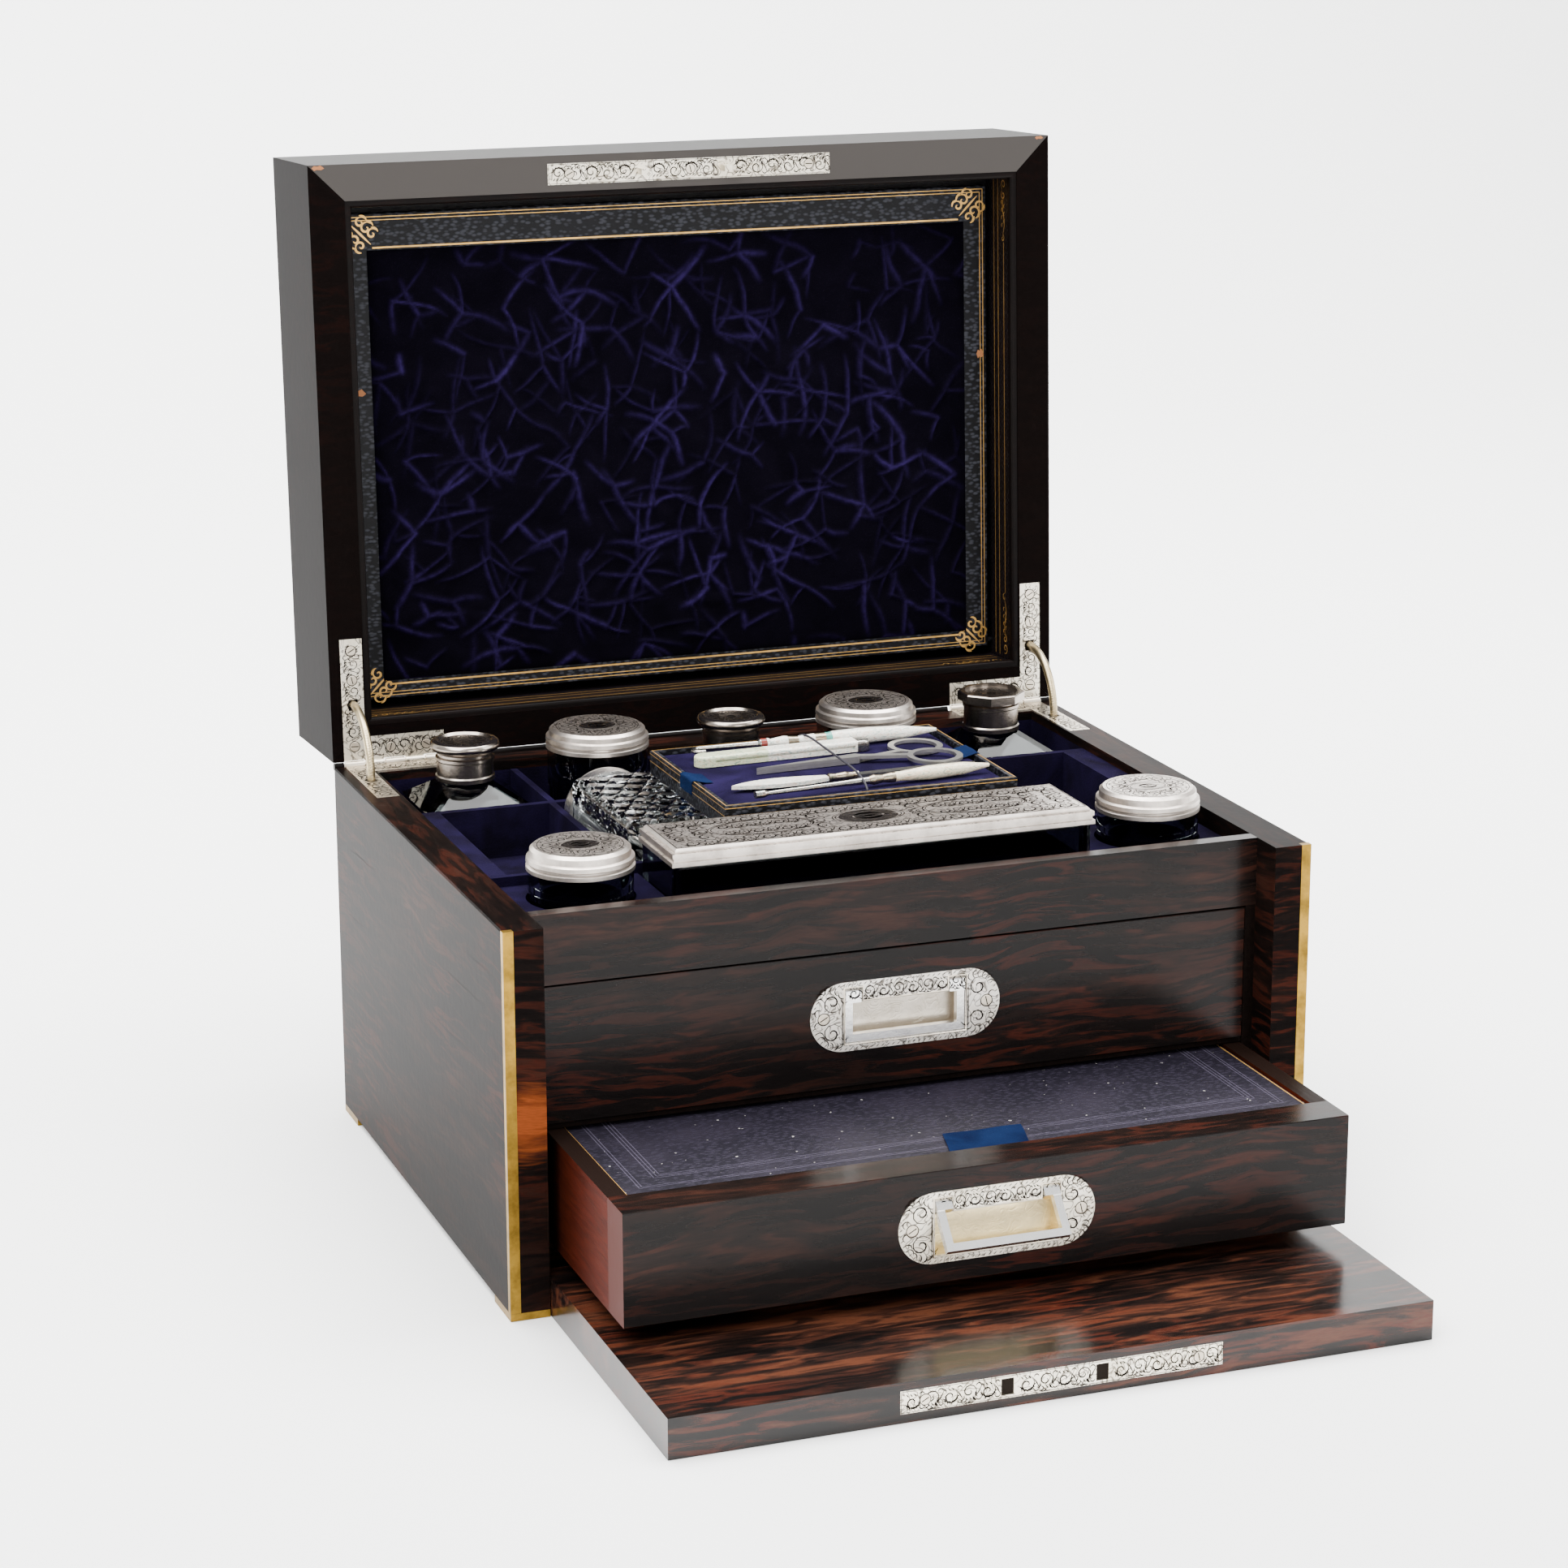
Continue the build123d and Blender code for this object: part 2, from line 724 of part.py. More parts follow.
def handle_bed(spare):
    """The plate and its pan as one shape, or the bed that is cut for them."""
    pan_width = opening_width + 2 * (pan_wall + spare)
    pan_tall = notch_top - opening_bottom + 2 * (pan_wall + spare)
    with BuildSketch(Plane.XY) as stadium:
        SlotOverall(plate_length + 2 * spare, plate_height + 2 * spare)
    extrude(stadium.sketch, amount=-(plate_proud + plate_inlay + spare))
    with BuildSketch(Plane.XY) as pan:
        with Locations((0, (notch_top + opening_bottom) / 2)):
            Rectangle(pan_width, pan_tall)
    extrude(pan.sketch, amount=-(pan_depth + pan_wall + spare))


def drawer_face(y, z, height, handle_z):
    """A veneered drawer front with the bed of its handle."""
    with BuildPart() as bed:
        handle_bed(seam)
    with BuildPart() as piece:
        board((-drawer_half, drawer_half), (y, y + drawer_front), (z, z + height))
        chamfer(piece.edges().filter_by(Axis.X).group_by(Axis.Y)[0], arris / 2)
        add(handle_place(y, handle_z) * bed.part, mode=Mode.SUBTRACT)
    return piece


def drawer_box(y, z, height, depth, ledges):
    """The drawer behind its front: sides, back and bottom, with ledges for a loose board."""
    start = y + drawer_front + seam
    end = y + depth
    inner = drawer_half - drawer_side
    low = z + drawer_base_rise
    with BuildPart() as piece:
        for hand in (-1, 1):
            board((hand * drawer_half, hand * inner), (start, end), (z, z + height))
        board((-inner + seam, inner - seam), (end - drawer_side, end), (z, z + height - board_recess))
        board((-inner + seam, inner - seam), (start, end - drawer_side - seam), (low, low + drawer_base))
        if ledges:
            top = z + height - board_recess - board_thickness
            for hand in (-1, 1):
                edge = hand * (inner - seam)
                board((edge, edge - hand * ledge_width), (start, end - drawer_side - seam),
                      (top - ledge_height, top))
    return piece


def handle_plate(y, z):
    """The engraved silver plate and its pan, in one piece."""
    with BuildPart() as flat:
        handle_bed(0)
        handle_opening(pan_depth)
        pivot = (-opening_width / 2 - 2 * pan_wall, bail_pivot_up, -bail_block / 2)
        rod(pivot, opening_width + 4 * pan_wall, trunnion_radius + pin_clearance, Mode.SUBTRACT)
    with BuildPart() as piece:
        add(handle_place(y, z) * flat.part)
    return piece


def bail(y, z, swing):
    """The swing handle: a square-cornered loop with a block and a trunnion at each end."""
    outer = opening_width / 2 - bail_play
    low = opening_bottom + bail_play
    join = bail_pivot_up - bail_block * 0.9
    depth = bail_block / 2
    with BuildPart() as flat:
        with BuildSketch(Plane.XY.offset(-depth - bail_thickness / 2)):
            with Locations((0, (low + join) / 2)):
                Rectangle(2 * outer, join - low)
            with Locations((0, (low + bail_bar + join) / 2)):
                Rectangle(2 * (outer - bail_bar), join - low - bail_bar, mode=Mode.SUBTRACT)
        extrude(amount=bail_thickness)
        for hand in (-1, 1):
            inside = outer - notch_width + 2 * bail_play
            start = inside if hand > 0 else -outer
            side = Plane(origin=(start, 0, 0), x_dir=(0, 1, 0), z_dir=(1, 0, 0))
            with BuildSketch(side):
                with BuildLine():
                    Line((bail_pivot_up, 0), (join - bail_play, 0))
                    Line((join - bail_play, 0), (join - bail_play, -bail_block))
                    Line((join - bail_play, -bail_block), (bail_pivot_up, -bail_block))
                    CenterArc((bail_pivot_up, -depth), depth, -90, 180)
                make_face()
            extrude(amount=outer - inside)
            rod((start, bail_pivot_up, -depth), outer - inside, depth / 2)
        rod_reach = opening_width / 2 + pan_wall
        for hand in (-1, 1):
            start = outer - pan_wall if hand > 0 else -rod_reach
            rod((start, bail_pivot_up, -depth), rod_reach - outer + pan_wall, trunnion_radius)
    with BuildPart() as piece:
        placed = handle_place(y, z) * flat.part
        pin_line = Axis((0, y - plate_proud + depth, z + bail_pivot_up), (1, 0, 0))
        add(placed.rotate(pin_line, -swing))
    return piece


def leather_board(y, z, height):
    inner = drawer_half - drawer_side - 2 * seam
    top = z + height - board_recess
    with BuildPart() as piece:
        board((-inner, inner), (y + drawer_front + 2 * seam, y + lower_depth - drawer_side - 2 * seam),
              (top - board_thickness + seam, top))
    return piece


def silk_tab(y, z, height):
    """The ribbon that lifts the leather board, lying on it in a shallow wave."""
    top = z + height - board_recess
    near = y + tab_from_front
    with BuildPart() as piece:
        with BuildSketch(Plane.YZ.offset(tab_x - tab_width / 2)):
            with BuildLine():
                low = ThreePointArc((near, top + seam), (near + tab_length / 2, top + 2 * seam),
                                    (near + tab_length, top + seam))
                high = ThreePointArc((near, top + tab_thickness), (near + tab_length / 2, top + tab_thickness + seam),
                                     (near + tab_length, top + tab_thickness))
                Line(low @ 0, high @ 0)
                Line(low @ 1, high @ 1)
            make_face()
        extrude(amount=tab_width)
    return piece


# ---------------------------------------------------------------- vessels


def square_bottle(spot):
    """A square scent bottle with cut corners, a sloping shoulder and a round neck."""
    x, y = spot
    base = back_stand_z
    inside = bottle_size - 2 * bottle_wall
    with BuildPart() as piece:
        with BuildSketch(Plane.XY.offset(base)):
            with Locations(spot):
                Rectangle(bottle_size, bottle_size)
            chamfer(vertices(), bottle_wall)
        extrude(amount=bottle_shoulder)
        with BuildSketch(Plane.XY.offset(base + bottle_shoulder)):
            with Locations(spot):
                Rectangle(bottle_size, bottle_size)
            chamfer(vertices(), bottle_wall)
        with BuildSketch(Plane.XY.offset(base + bottle_shoulder + bottle_shoulder_rise)):
            with Locations(spot):
                Rectangle(2 * bottle_neck_radius, 2 * bottle_neck_radius)
            chamfer(vertices(), bottle_wall)
        loft(ruled=True)
        with Locations((x, y, base)):
            Cylinder(bottle_neck_radius, bottle_height, align=(Align.CENTER, Align.CENTER, Align.MIN))
        board((x - inside / 2, x + inside / 2), (y - inside / 2, y + inside / 2),
              (base + bottle_wall, base + bottle_shoulder), Mode.SUBTRACT)
        with BuildSketch(Plane.XY.offset(base + bottle_shoulder)):
            with Locations(spot):
                Rectangle(inside, inside)
        with BuildSketch(Plane.XY.offset(base + bottle_shoulder + bottle_shoulder_rise)):
            with Locations(spot):
                Rectangle(bottle_neck_radius, bottle_neck_radius)
        loft(ruled=True, mode=Mode.SUBTRACT)
        with Locations((x, y, base + bottle_shoulder)):
            Cylinder(bottle_neck_radius - bottle_wall, bottle_height,
                     align=(Align.CENTER, Align.CENTER, Align.MIN), mode=Mode.SUBTRACT)
    return piece


def cap_levels():
    """The foot and the top of a bottle's cap, and the radius of its collar."""
    neck_top = back_stand_z + bottle_height
    top = neck_top + run_gap + bottle_wall * 2
    return neck_top + run_gap, top - cap_height, top, bottle_neck_radius + mouth_clearance


def cap_collar(low, head, skirt):
    """The turned outline of a collar, from its head down to its foot: a bead at each end."""
    wall = skirt + bottle_wall * 0.3
    return [(wall - cap_bead, head), (wall - cap_bead, head - 1.0), (wall + cap_bead, head - 1.6),
            (wall + cap_bead, head - 2.8), (wall, head - 3.4), (wall, low + 2.4),
            (wall + cap_bead, low + 1.8), (wall + cap_bead, low), (skirt, low)]


def bottle_cap(spot):
    """A turned silver cap with a beaded collar and a broad, dished top."""
    x, y = spot
    seat, low, top, skirt = cap_levels()
    collar = cap_collar(low, top - cap_rim - 1.6, skirt)
    with BuildPart() as piece:
        with BuildSketch(Plane(origin=(x, y, 0), x_dir=(1, 0, 0), z_dir=(0, -1, 0))):
            with BuildLine():
                Line((0, top - 1), (cap_radius - 4, top - 1))
                Line((cap_radius - 4, top - 1), (cap_radius - 3, top))
                Line((cap_radius - 3, top), (cap_radius - 1, top - 0.4))
                ThreePointArc((cap_radius - 1, top - 0.4), (cap_radius, top - cap_rim / 2 - 0.2),
                              (cap_radius - 1, top - cap_rim))
                Polyline((cap_radius - 1, top - cap_rim), *collar, (skirt, seat), (0, seat), (0, top - 1))
            make_face()
        revolve(axis=Axis((x, y, 0), (0, 0, 1)))
    return piece


def eight_sided_cap(spot):
    """The right bottle's cap: an eight-sided, dished plate on a beaded collar."""
    x, y = spot
    seat, low, top, skirt = cap_levels()
    head = top - cap_rim
    collar = cap_collar(low, head, skirt)
    with BuildPart() as piece:
        with BuildSketch(Plane(origin=(x, y, 0), x_dir=(1, 0, 0), z_dir=(0, -1, 0))):
            with BuildLine():
                Polyline((0, head + 1), (collar[0][0], head + 1), *collar, (skirt, seat), (0, seat), close=True)
            make_face()
        revolve(axis=Axis((x, y, 0), (0, 0, 1)))
        with BuildSketch(Plane.XY.offset(head)):
            with Locations(spot):
                RegularPolygon(cap_radius, 8, rotation=22.5)
        extrude(amount=cap_rim)
        chamfer(piece.faces().sort_by(Axis.Z)[-1].outer_wire().edges(), cap_bead)
        with BuildSketch(Plane.XY.offset(top - cap_dish)):
            with Locations(spot):
                Circle(cap_radius - 2 * cap_dish - cap_bead)
        extrude(amount=cap_dish, mode=Mode.SUBTRACT)
    return piece


def cut_jar(spot, base, radius, height):
    """A round jar with flat-cut sides below a plain band, and a neck under its lid."""
    x, y = spot
    neck = radius - bottle_wall / 2
    bore = neck - bottle_wall * 0.7
    band = base + height * 0.72
    with BuildPart() as piece:
        with BuildSketch(Plane.XY.offset(base)):
            with Locations(spot):
                RegularPolygon(radius, 14)
        extrude(amount=height)
        with BuildSketch(Plane.XY.offset(band)):
            with Locations(spot):
                Circle(radius)
        extrude(amount=height - (band - base))
        with BuildSketch(Plane.XY.offset(base + height)):
            with Locations(spot):
                Circle(neck)
        extrude(amount=mouth_height)
        with BuildSketch(Plane.XY.offset(base + bottle_wall)):
            with Locations(spot):
                Circle(bore)
        extrude(amount=height + mouth_height, mode=Mode.SUBTRACT)
    return piece


def round_lid(spot, base, radius, height):
    """A silver jar lid with turned rings round a plain, slightly raised top."""
    x, y = spot
    skirt = radius - bottle_wall / 2 + mouth_clearance
    low = base + run_gap
    top = low + height
    inside = low + mouth_height + run_gap
    rim = radius + 0.6
    profile = Plane(origin=(x, y, 0), x_dir=(1, 0, 0), z_dir=(0, -1, 0))
    with BuildPart() as piece:
        with BuildSketch(profile):
            with BuildLine():
                Polyline((0, inside), (skirt, inside), (skirt, low), (rim, low), (rim, low + 1.6),
                         (rim - 0.9, low + 2.2), (rim - 0.9, low + 2.8), (rim, low + 3.4),
                         (rim - 0.2, low + 5.0), (rim - 1.4, low + 5.6), (rim - 1.6, top - 1.2),
                         (rim - 3.0, top), (0, top), close=True)
            make_face()
        revolve(axis=Axis((x, y, 0), (0, 0, 1)))
    return piece


def long_box():
    """The long glass box of the front row."""
    with BuildPart() as piece:
        board((box_x - box_length / 2, box_x + box_length / 2), (box_y - box_width / 2, box_y + box_width / 2),
              (stand_z, stand_z + box_height))
        chamfer(piece.edges().filter_by(Axis.Z), box_wall / 2)
        board((box_x - box_length / 2 + box_wall, box_x + box_length / 2 - box_wall),
              (box_y - box_width / 2 + box_wall, box_y + box_width / 2 - box_wall),
              (stand_z + box_wall, stand_z + box_height), Mode.SUBTRACT)
    return piece


def long_box_lid():
    """Its stepped silver lid, with a rim that drops inside the glass."""
    low = stand_z + box_height + run_gap
    length = box_length + 2 * box_lid_overhang
    width = box_width + 2 * box_lid_overhang
    step = box_lid_height / 4
    with BuildPart() as piece:
        for number, inset in enumerate((0, 0.9, 0.3, 1.7)):
            with BuildSketch(Plane.XY.offset(low + number * step)):
                with Locations((box_x, box_y)):
                    Rectangle(length - 2 * inset, width - 2 * inset)
            extrude(amount=step)
        chamfer(piece.edges().group_by(Axis.Z)[-1], step / 2)
        inside_x = box_length / 2 - box_wall - mouth_clearance
        inside_y = box_width / 2 - box_wall - mouth_clearance
        board((box_x - inside_x, box_x + inside_x), (box_y - inside_y, box_y + inside_y), (low - step, low))
        board((box_x - inside_x + 1, box_x + inside_x - 1), (box_y - inside_y + 1, box_y + inside_y - 1),
              (low - step, low + step * 2), Mode.SUBTRACT)
    return piece


def flask():
    """The cut-glass jar that lies on its side, with its mouth to the back."""
    middle_z = flask_middle_z
    shoulder = flask_front + flask_length
    flat = Plane(origin=(flask_x, flask_front, middle_z), x_dir=(1, 0, 0), z_dir=(0, 1, 0))
    end = Plane(origin=(flask_x, shoulder, middle_z), x_dir=(1, 0, 0), z_dir=(0, 1, 0))
    inner = Plane(origin=(flask_x, flask_front + bottle_wall, middle_z), x_dir=(1, 0, 0), z_dir=(0, 1, 0))
    with BuildPart() as piece:
        with BuildSketch(flat):
            RectangleRounded(flask_width, flask_height, bottle_wall)
        extrude(amount=flask_length)
        chamfer(piece.faces().sort_by(Axis.Y)[-1].edges(), bottle_wall / 2)
        with BuildSketch(end):
            Circle(flask_neck_radius)
        extrude(amount=flask_neck_length)
        with BuildSketch(inner):
            Circle(flask_neck_radius - bottle_wall / 2)
        extrude(amount=flask_length + flask_neck_length, mode=Mode.SUBTRACT)
    return piece


def flask_cap():
    """Its round silver screw cap, domed at the end."""
    low = flask_front + flask_length + run_gap
    start = Plane(origin=(flask_x, low, flask_middle_z), x_dir=(1, 0, 0), z_dir=(0, 1, 0))
    with BuildPart() as piece:
        with BuildSketch(start):
            Circle(flask_cap_radius)
        extrude(amount=flask_cap_length)
        fillet(piece.faces().sort_by(Axis.Y)[-1].edges(), flask_cap_length / 2)
        with BuildSketch(start):
            Circle(flask_neck_radius + mouth_clearance)
        extrude(amount=flask_neck_length + run_gap, mode=Mode.SUBTRACT)
    return piece


# ---------------------------------------------------------------- manicure tray


def tray_case():
    """A leather-covered tray with a low rim."""
    with BuildPart() as piece:
        board(tray_x, tray_y, (tray_z, tray_z + tray_thickness))
        chamfer(piece.edges().group_by(Axis.Z)[-1], arris / 2)
        board((tray_x[0] + tray_wall, tray_x[1] - tray_wall), (tray_y[0] + tray_wall, tray_y[1] - tray_wall),
              (tray_z + tray_wall, tray_z + tray_thickness), Mode.SUBTRACT)
    return piece


def tray_pad():
    """The velvet-covered bed of the tools."""
    with BuildPart() as piece:
        board((tray_x[0] + tray_wall + seam, tray_x[1] - tray_wall - seam),
              (tray_y[0] + tray_wall + seam, tray_y[1] - tray_wall - seam),
              (tray_z + tray_wall, pad_top))
        fillet(piece.edges().group_by(Axis.Z)[-1], arris)
    return piece


def laid(drawn):
    """A tool that was drawn on the pad's middle, scaled with the tray and laid on its pad."""
    # The tools are drawn for a tray of 128.8 by 95.6.
    share = min((tray_x[1] - tray_x[0]) / 128.8, (tray_y[1] - tray_y[0]) / 95.6)
    middle = Location((sum(tray_x) / 2, sum(tray_y) / 2, pad_top))
    with BuildPart() as piece:
        add(middle * scale(drawn.part, by=share, mode=Mode.PRIVATE))
    return piece


def tool_plane(start, end, height):
    """A plane that lies along a tool, from its tip, at a height above the pad."""
    tip = Vector(start[0], start[1], height)
    along = Vector(end[0] - start[0], end[1] - start[1], 0)
    return Plane(origin=tip, x_dir=along, z_dir=(0, 0, 1))


def turned_tool(plane, points):
    """A turned tool: a profile of length and radius, spun about the tool's own line."""
    with BuildPart() as piece:
        with BuildSketch(plane):
            with BuildLine():
                Polyline(*points, close=True)
            make_face()
        revolve(axis=Axis(plane.origin, plane.x_dir))
    return piece


def button_hook():
    reach = 3.4 + tool_gap
    plane = tool_plane((-47, 34.6), (60, 29.6), reach)
    length = 107.0
    with BuildPart() as piece:
        add(turned_tool(plane, ((0, 0), (0, 1.0), (26, 1.4), (27, 2.2), (31, 2.2), (32, 1.7), (38, 2.6),
                                (44, 2.0), (52, 2.6), (58, 2.6), (60, 3.0), (76, 3.4), (92, 2.8),
                                (length, 0.8), (length, 0))).part)
        bend = Plane(origin=plane.origin - plane.y_dir * 3.0, x_dir=plane.x_dir, z_dir=plane.z_dir)
        with BuildSketch(Plane(origin=plane.origin, x_dir=plane.y_dir, z_dir=plane.x_dir)):
            Circle(1.0)
        revolve(axis=Axis(bend.origin, plane.z_dir), revolution_arc=200)
    return piece


def penknife():
    """A closed penknife: two scales with rounded ends round a folded blade."""
    plane = tool_plane((-54, 19.6), (27, 22.6), tool_gap)
    with BuildPart() as piece:
        with BuildSketch(plane):
            with Locations((40, 0)):
                SlotOverall(80, 8.5)
        extrude(amount=4.6)
        fillet(piece.edges().group_by(Axis.Z)[-1], 1.2)
        with BuildSketch(plane.offset(1.8)):
            with Locations((40, -4.25)):
                Rectangle(64, 3)
        extrude(amount=1.0, mode=Mode.SUBTRACT)
    return piece


def scissors():
    """Closed scissors: two halves crossing at the rivet, one on the other."""
    rivet = (12.8, 2.8)
    tip = (-34.2, -2.4)
    thickness = 1.4
    with BuildPart() as piece:
        for side, ring, level in ((1, (44.3, 15.1), 0), (-1, (43.8, -8.1), thickness + seam)):
            join_y = rivet[1] + 6.2 * side
            with BuildSketch(Plane.XY.offset(tool_gap + level)):
                with BuildLine():
                    Polyline(tip, (rivet[0], rivet[1] - 2.7), (rivet[0] + 3, rivet[1]),
                             (rivet[0], rivet[1] + 2.7), close=True)
                make_face()
                with BuildLine():
                    Polyline((rivet[0] - 1, rivet[1] - 1.8), (rivet[0] - 1, rivet[1] + 1.8),
                             (34.3, join_y + 1.6), (34.3, join_y - 1.6), close=True)
                make_face()
                with Locations(ring):
                    Circle(11.8)
                    Circle(9.2, mode=Mode.SUBTRACT)
            extrude(amount=thickness)
    return piece


def nail_file():
    """A mother-of-pearl blade and a steel file, joined by a ferrule."""
    reach = 1.9
    plane = tool_plane((-53.4, -24.9), (55.6, -22.9), tool_gap)
    with BuildPart() as piece:
        with BuildSketch(plane.offset(reach - 0.8)):
            with BuildLine():
                Spline((0, 0), (12, 4.4), (30, 4.2), (44, 1.5))
                Line((44, 1.5), (44, -1.5))
                Spline((44, -1.5), (30, -4.2), (12, -3.4), (0, 0))
            make_face()
        extrude(amount=1.6)
        with BuildSketch(plane.offset(reach - 0.6)):
            with BuildLine():
                Polyline((54, 2.0), (100, 2.4), (109, 0.5), (109, -0.5), (100, -2.4), (54, -2.0), close=True)
            make_face()
        extrude(amount=1.2)
        add(turned_tool(plane.offset(reach), ((43, 0), (43, 1.9), (46, 1.5), (50, 1.9), (54, 1.5), (56, 1.9),
                                              (56, 0))).part)
    return piece


def cuticle_pick():
    reach = 3.0 + tool_gap
    plane = tool_plane((-49.4, -42.4), (60.6, -31.9), reach)
    return turned_tool(plane, ((0, 0), (0, 1.6), (4, 1.6), (6, 0.9), (40, 1.2), (52, 1.6), (54, 2.2), (58, 1.7),
                               (62, 2.2), (66, 2.0), (80, 3.0), (96, 2.6), (108, 0.8), (108, 0)))


def tying_cord():
    """The dark cord that is tied down over the tools, from one end of the pad to the other."""
    low = 2 * cord_radius
    high = tool_height + cord_radius + tool_gap
    ends = ((0, 41.6, low), (0, 38.1, high), (-0.5, 1.6, high - 0.5), (-1, -40.4, high - 1), (-1, -43.9, low))
    with BuildPart() as piece:
        with BuildLine() as route:
            FilletPolyline(*ends, radius=2.5)
        with BuildSketch(Plane(origin=route.line @ 0, z_dir=route.line % 0)):
            Circle(cord_radius)
        sweep()
    return piece


# ---------------------------------------------------------------- the whole box

bail_pivot_up = notch_top - bail_play - bail_block / 2
pot_left_at = (pot_left_in - inner_x, frieze_back + pots_from_frieze)
pot_right_at = (inner_x - pot_right_in, frieze_back + pots_from_frieze)
bottle_left_at = (-2 * well_pitch + bottle_left_shift, back_row_y)
jar_left_at = (-well_pitch + jar_left_shift, back_row_y - jar_set)
bottle_small_at = (bottle_small_shift, back_row_y)
jar_right_at = (well_pitch + jar_right_shift, back_row_y + jar_set)
bottle_right_at = (2 * well_pitch + bottle_right_shift, back_row_y)
flask_middle_z = stand_z + flask_cap_radius
flask_x = (flask_well_left + centre_well_left - partition) / 2
tray_z = partition_top + tray_top_rise - tray_thickness + partition_drop
tray_x = (centre_well_left + tray_play, centre_well_right - tray_play)
tray_y = (front_row_back + partition + tray_play, well_wall_front - tray_play)
pad_top = tray_z + tray_thickness - tray_rim
lower_y = face_y - lower_out
upper_handle_z = upper_z + upper_height / 2 + upper_handle_rise
lower_handle_z = lower_z + lower_height / 2

os.makedirs("parts", exist_ok=True)

save(side_board(-1), "side_left")
save(side_board(1), "side_right")
save(back_panel(), "back_panel")
save(bottom_board(), "bottom_board")
save(front_rails(), "front_rails")
save(drawer_guides(), "drawer_guides")
save(brass_edging(), "brass_edging")
save(front_compartments(), "front_compartments")
save(front_ledge(), "front_ledge")
save(back_compartments(), "back_compartments")
save(case_hinges(), "case_hinges")

save(opened(mitred_sides()), "lid_sides")
save(opened(lid_top()), "lid_top")
save(opened(lid_bead()), "lid_bead")
save(opened(lid_lining()), "lid_lining")
save(opened(lid_lock_plate()), "lid_lock_plate")
save(opened(lid_hinges()), "lid_hinges")
save(opened(lid_panel()), "lid_panel")
save(opened(panel_pad()), "panel_pad")
save(stay(-1), "stay_left")
save(stay(1), "stay_right")

save(flap_board(), "flap_board")
save(flap_lock(), "flap_lock")
save(flap_pins(), "flap_pins")

for drawer, y, z, height, depth, handle_z, swing in (
    ("upper", face_y, upper_z, upper_height, upper_depth, upper_handle_z, 0),
    ("lower", lower_y, lower_z, lower_height, lower_depth, lower_handle_z, lower_bail_swing),
):
    save(drawer_face(y, z, height, handle_z), f"{drawer}_front")
    save(drawer_box(y, z, height, depth, drawer == "lower"), f"{drawer}_box")
    save(handle_plate(y, handle_z), f"{drawer}_handle_plate")
    save(bail(y, handle_z, swing), f"{drawer}_bail")
save(leather_board(lower_y, lower_z, lower_height), "leather_board")
save(silk_tab(lower_y, lower_z, lower_height), "silk_tab")

for name, spot in (("left", bottle_left_at), ("small", bottle_small_at), ("right", bottle_right_at)):
    save(square_bottle(spot), f"bottle_{name}")
for name, spot in (("left", bottle_left_at), ("small", bottle_small_at)):
    save(bottle_cap(spot), f"bottle_{name}_cap")
save(eight_sided_cap(bottle_right_at), "bottle_right_cap")
for name, spot in (("left", jar_left_at), ("right", jar_right_at)):
    save(cut_jar(spot, jar_stand_z, jar_radius, jar_height), f"jar_{name}")
    save(round_lid(spot, jar_stand_z + jar_height, jar_radius, jar_lid_height), f"jar_{name}_lid")
for name, spot in (("left", pot_left_at), ("right", pot_right_at)):
    save(cut_jar(spot, stand_z, pot_radius, pot_height), f"pot_{name}")
    save(round_lid(spot, stand_z + pot_height, pot_radius, pot_lid_height), f"pot_{name}_lid")
save(long_box(), "long_box")
save(long_box_lid(), "long_box_lid")
save(flask(), "flask")
save(flask_cap(), "flask_cap")

save(tray_case(), "tray_case")
save(tray_pad(), "tray_pad")
save(laid(button_hook()), "button_hook")
save(laid(penknife()), "penknife")
save(laid(scissors()), "scissors")
save(laid(nail_file()), "nail_file")
save(laid(cuticle_pick()), "cuticle_pick")
save(laid(tying_cord()), "tying_cord")
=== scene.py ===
import json
import math
import random

import bmesh
import bpy
import numpy as np
from mathutils import Matrix, Vector


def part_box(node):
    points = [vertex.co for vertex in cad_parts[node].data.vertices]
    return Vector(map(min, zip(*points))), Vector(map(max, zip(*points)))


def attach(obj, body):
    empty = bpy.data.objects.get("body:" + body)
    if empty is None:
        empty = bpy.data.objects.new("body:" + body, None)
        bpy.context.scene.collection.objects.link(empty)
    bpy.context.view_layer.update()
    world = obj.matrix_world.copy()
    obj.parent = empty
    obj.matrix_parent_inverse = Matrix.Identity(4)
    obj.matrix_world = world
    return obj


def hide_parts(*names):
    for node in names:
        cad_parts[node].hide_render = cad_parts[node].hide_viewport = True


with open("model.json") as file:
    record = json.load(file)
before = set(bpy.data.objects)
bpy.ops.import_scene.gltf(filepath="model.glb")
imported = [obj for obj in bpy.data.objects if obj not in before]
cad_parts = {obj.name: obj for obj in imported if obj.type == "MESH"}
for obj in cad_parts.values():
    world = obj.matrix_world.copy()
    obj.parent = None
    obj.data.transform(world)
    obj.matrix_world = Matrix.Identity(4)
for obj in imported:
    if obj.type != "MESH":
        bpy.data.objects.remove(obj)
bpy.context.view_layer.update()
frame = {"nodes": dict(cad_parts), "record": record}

MM = 0.001
SCENE = bpy.context.scene


def corners(node):
    """A CAD node's lowest and highest corners in mm."""
    return [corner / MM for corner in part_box(node)]


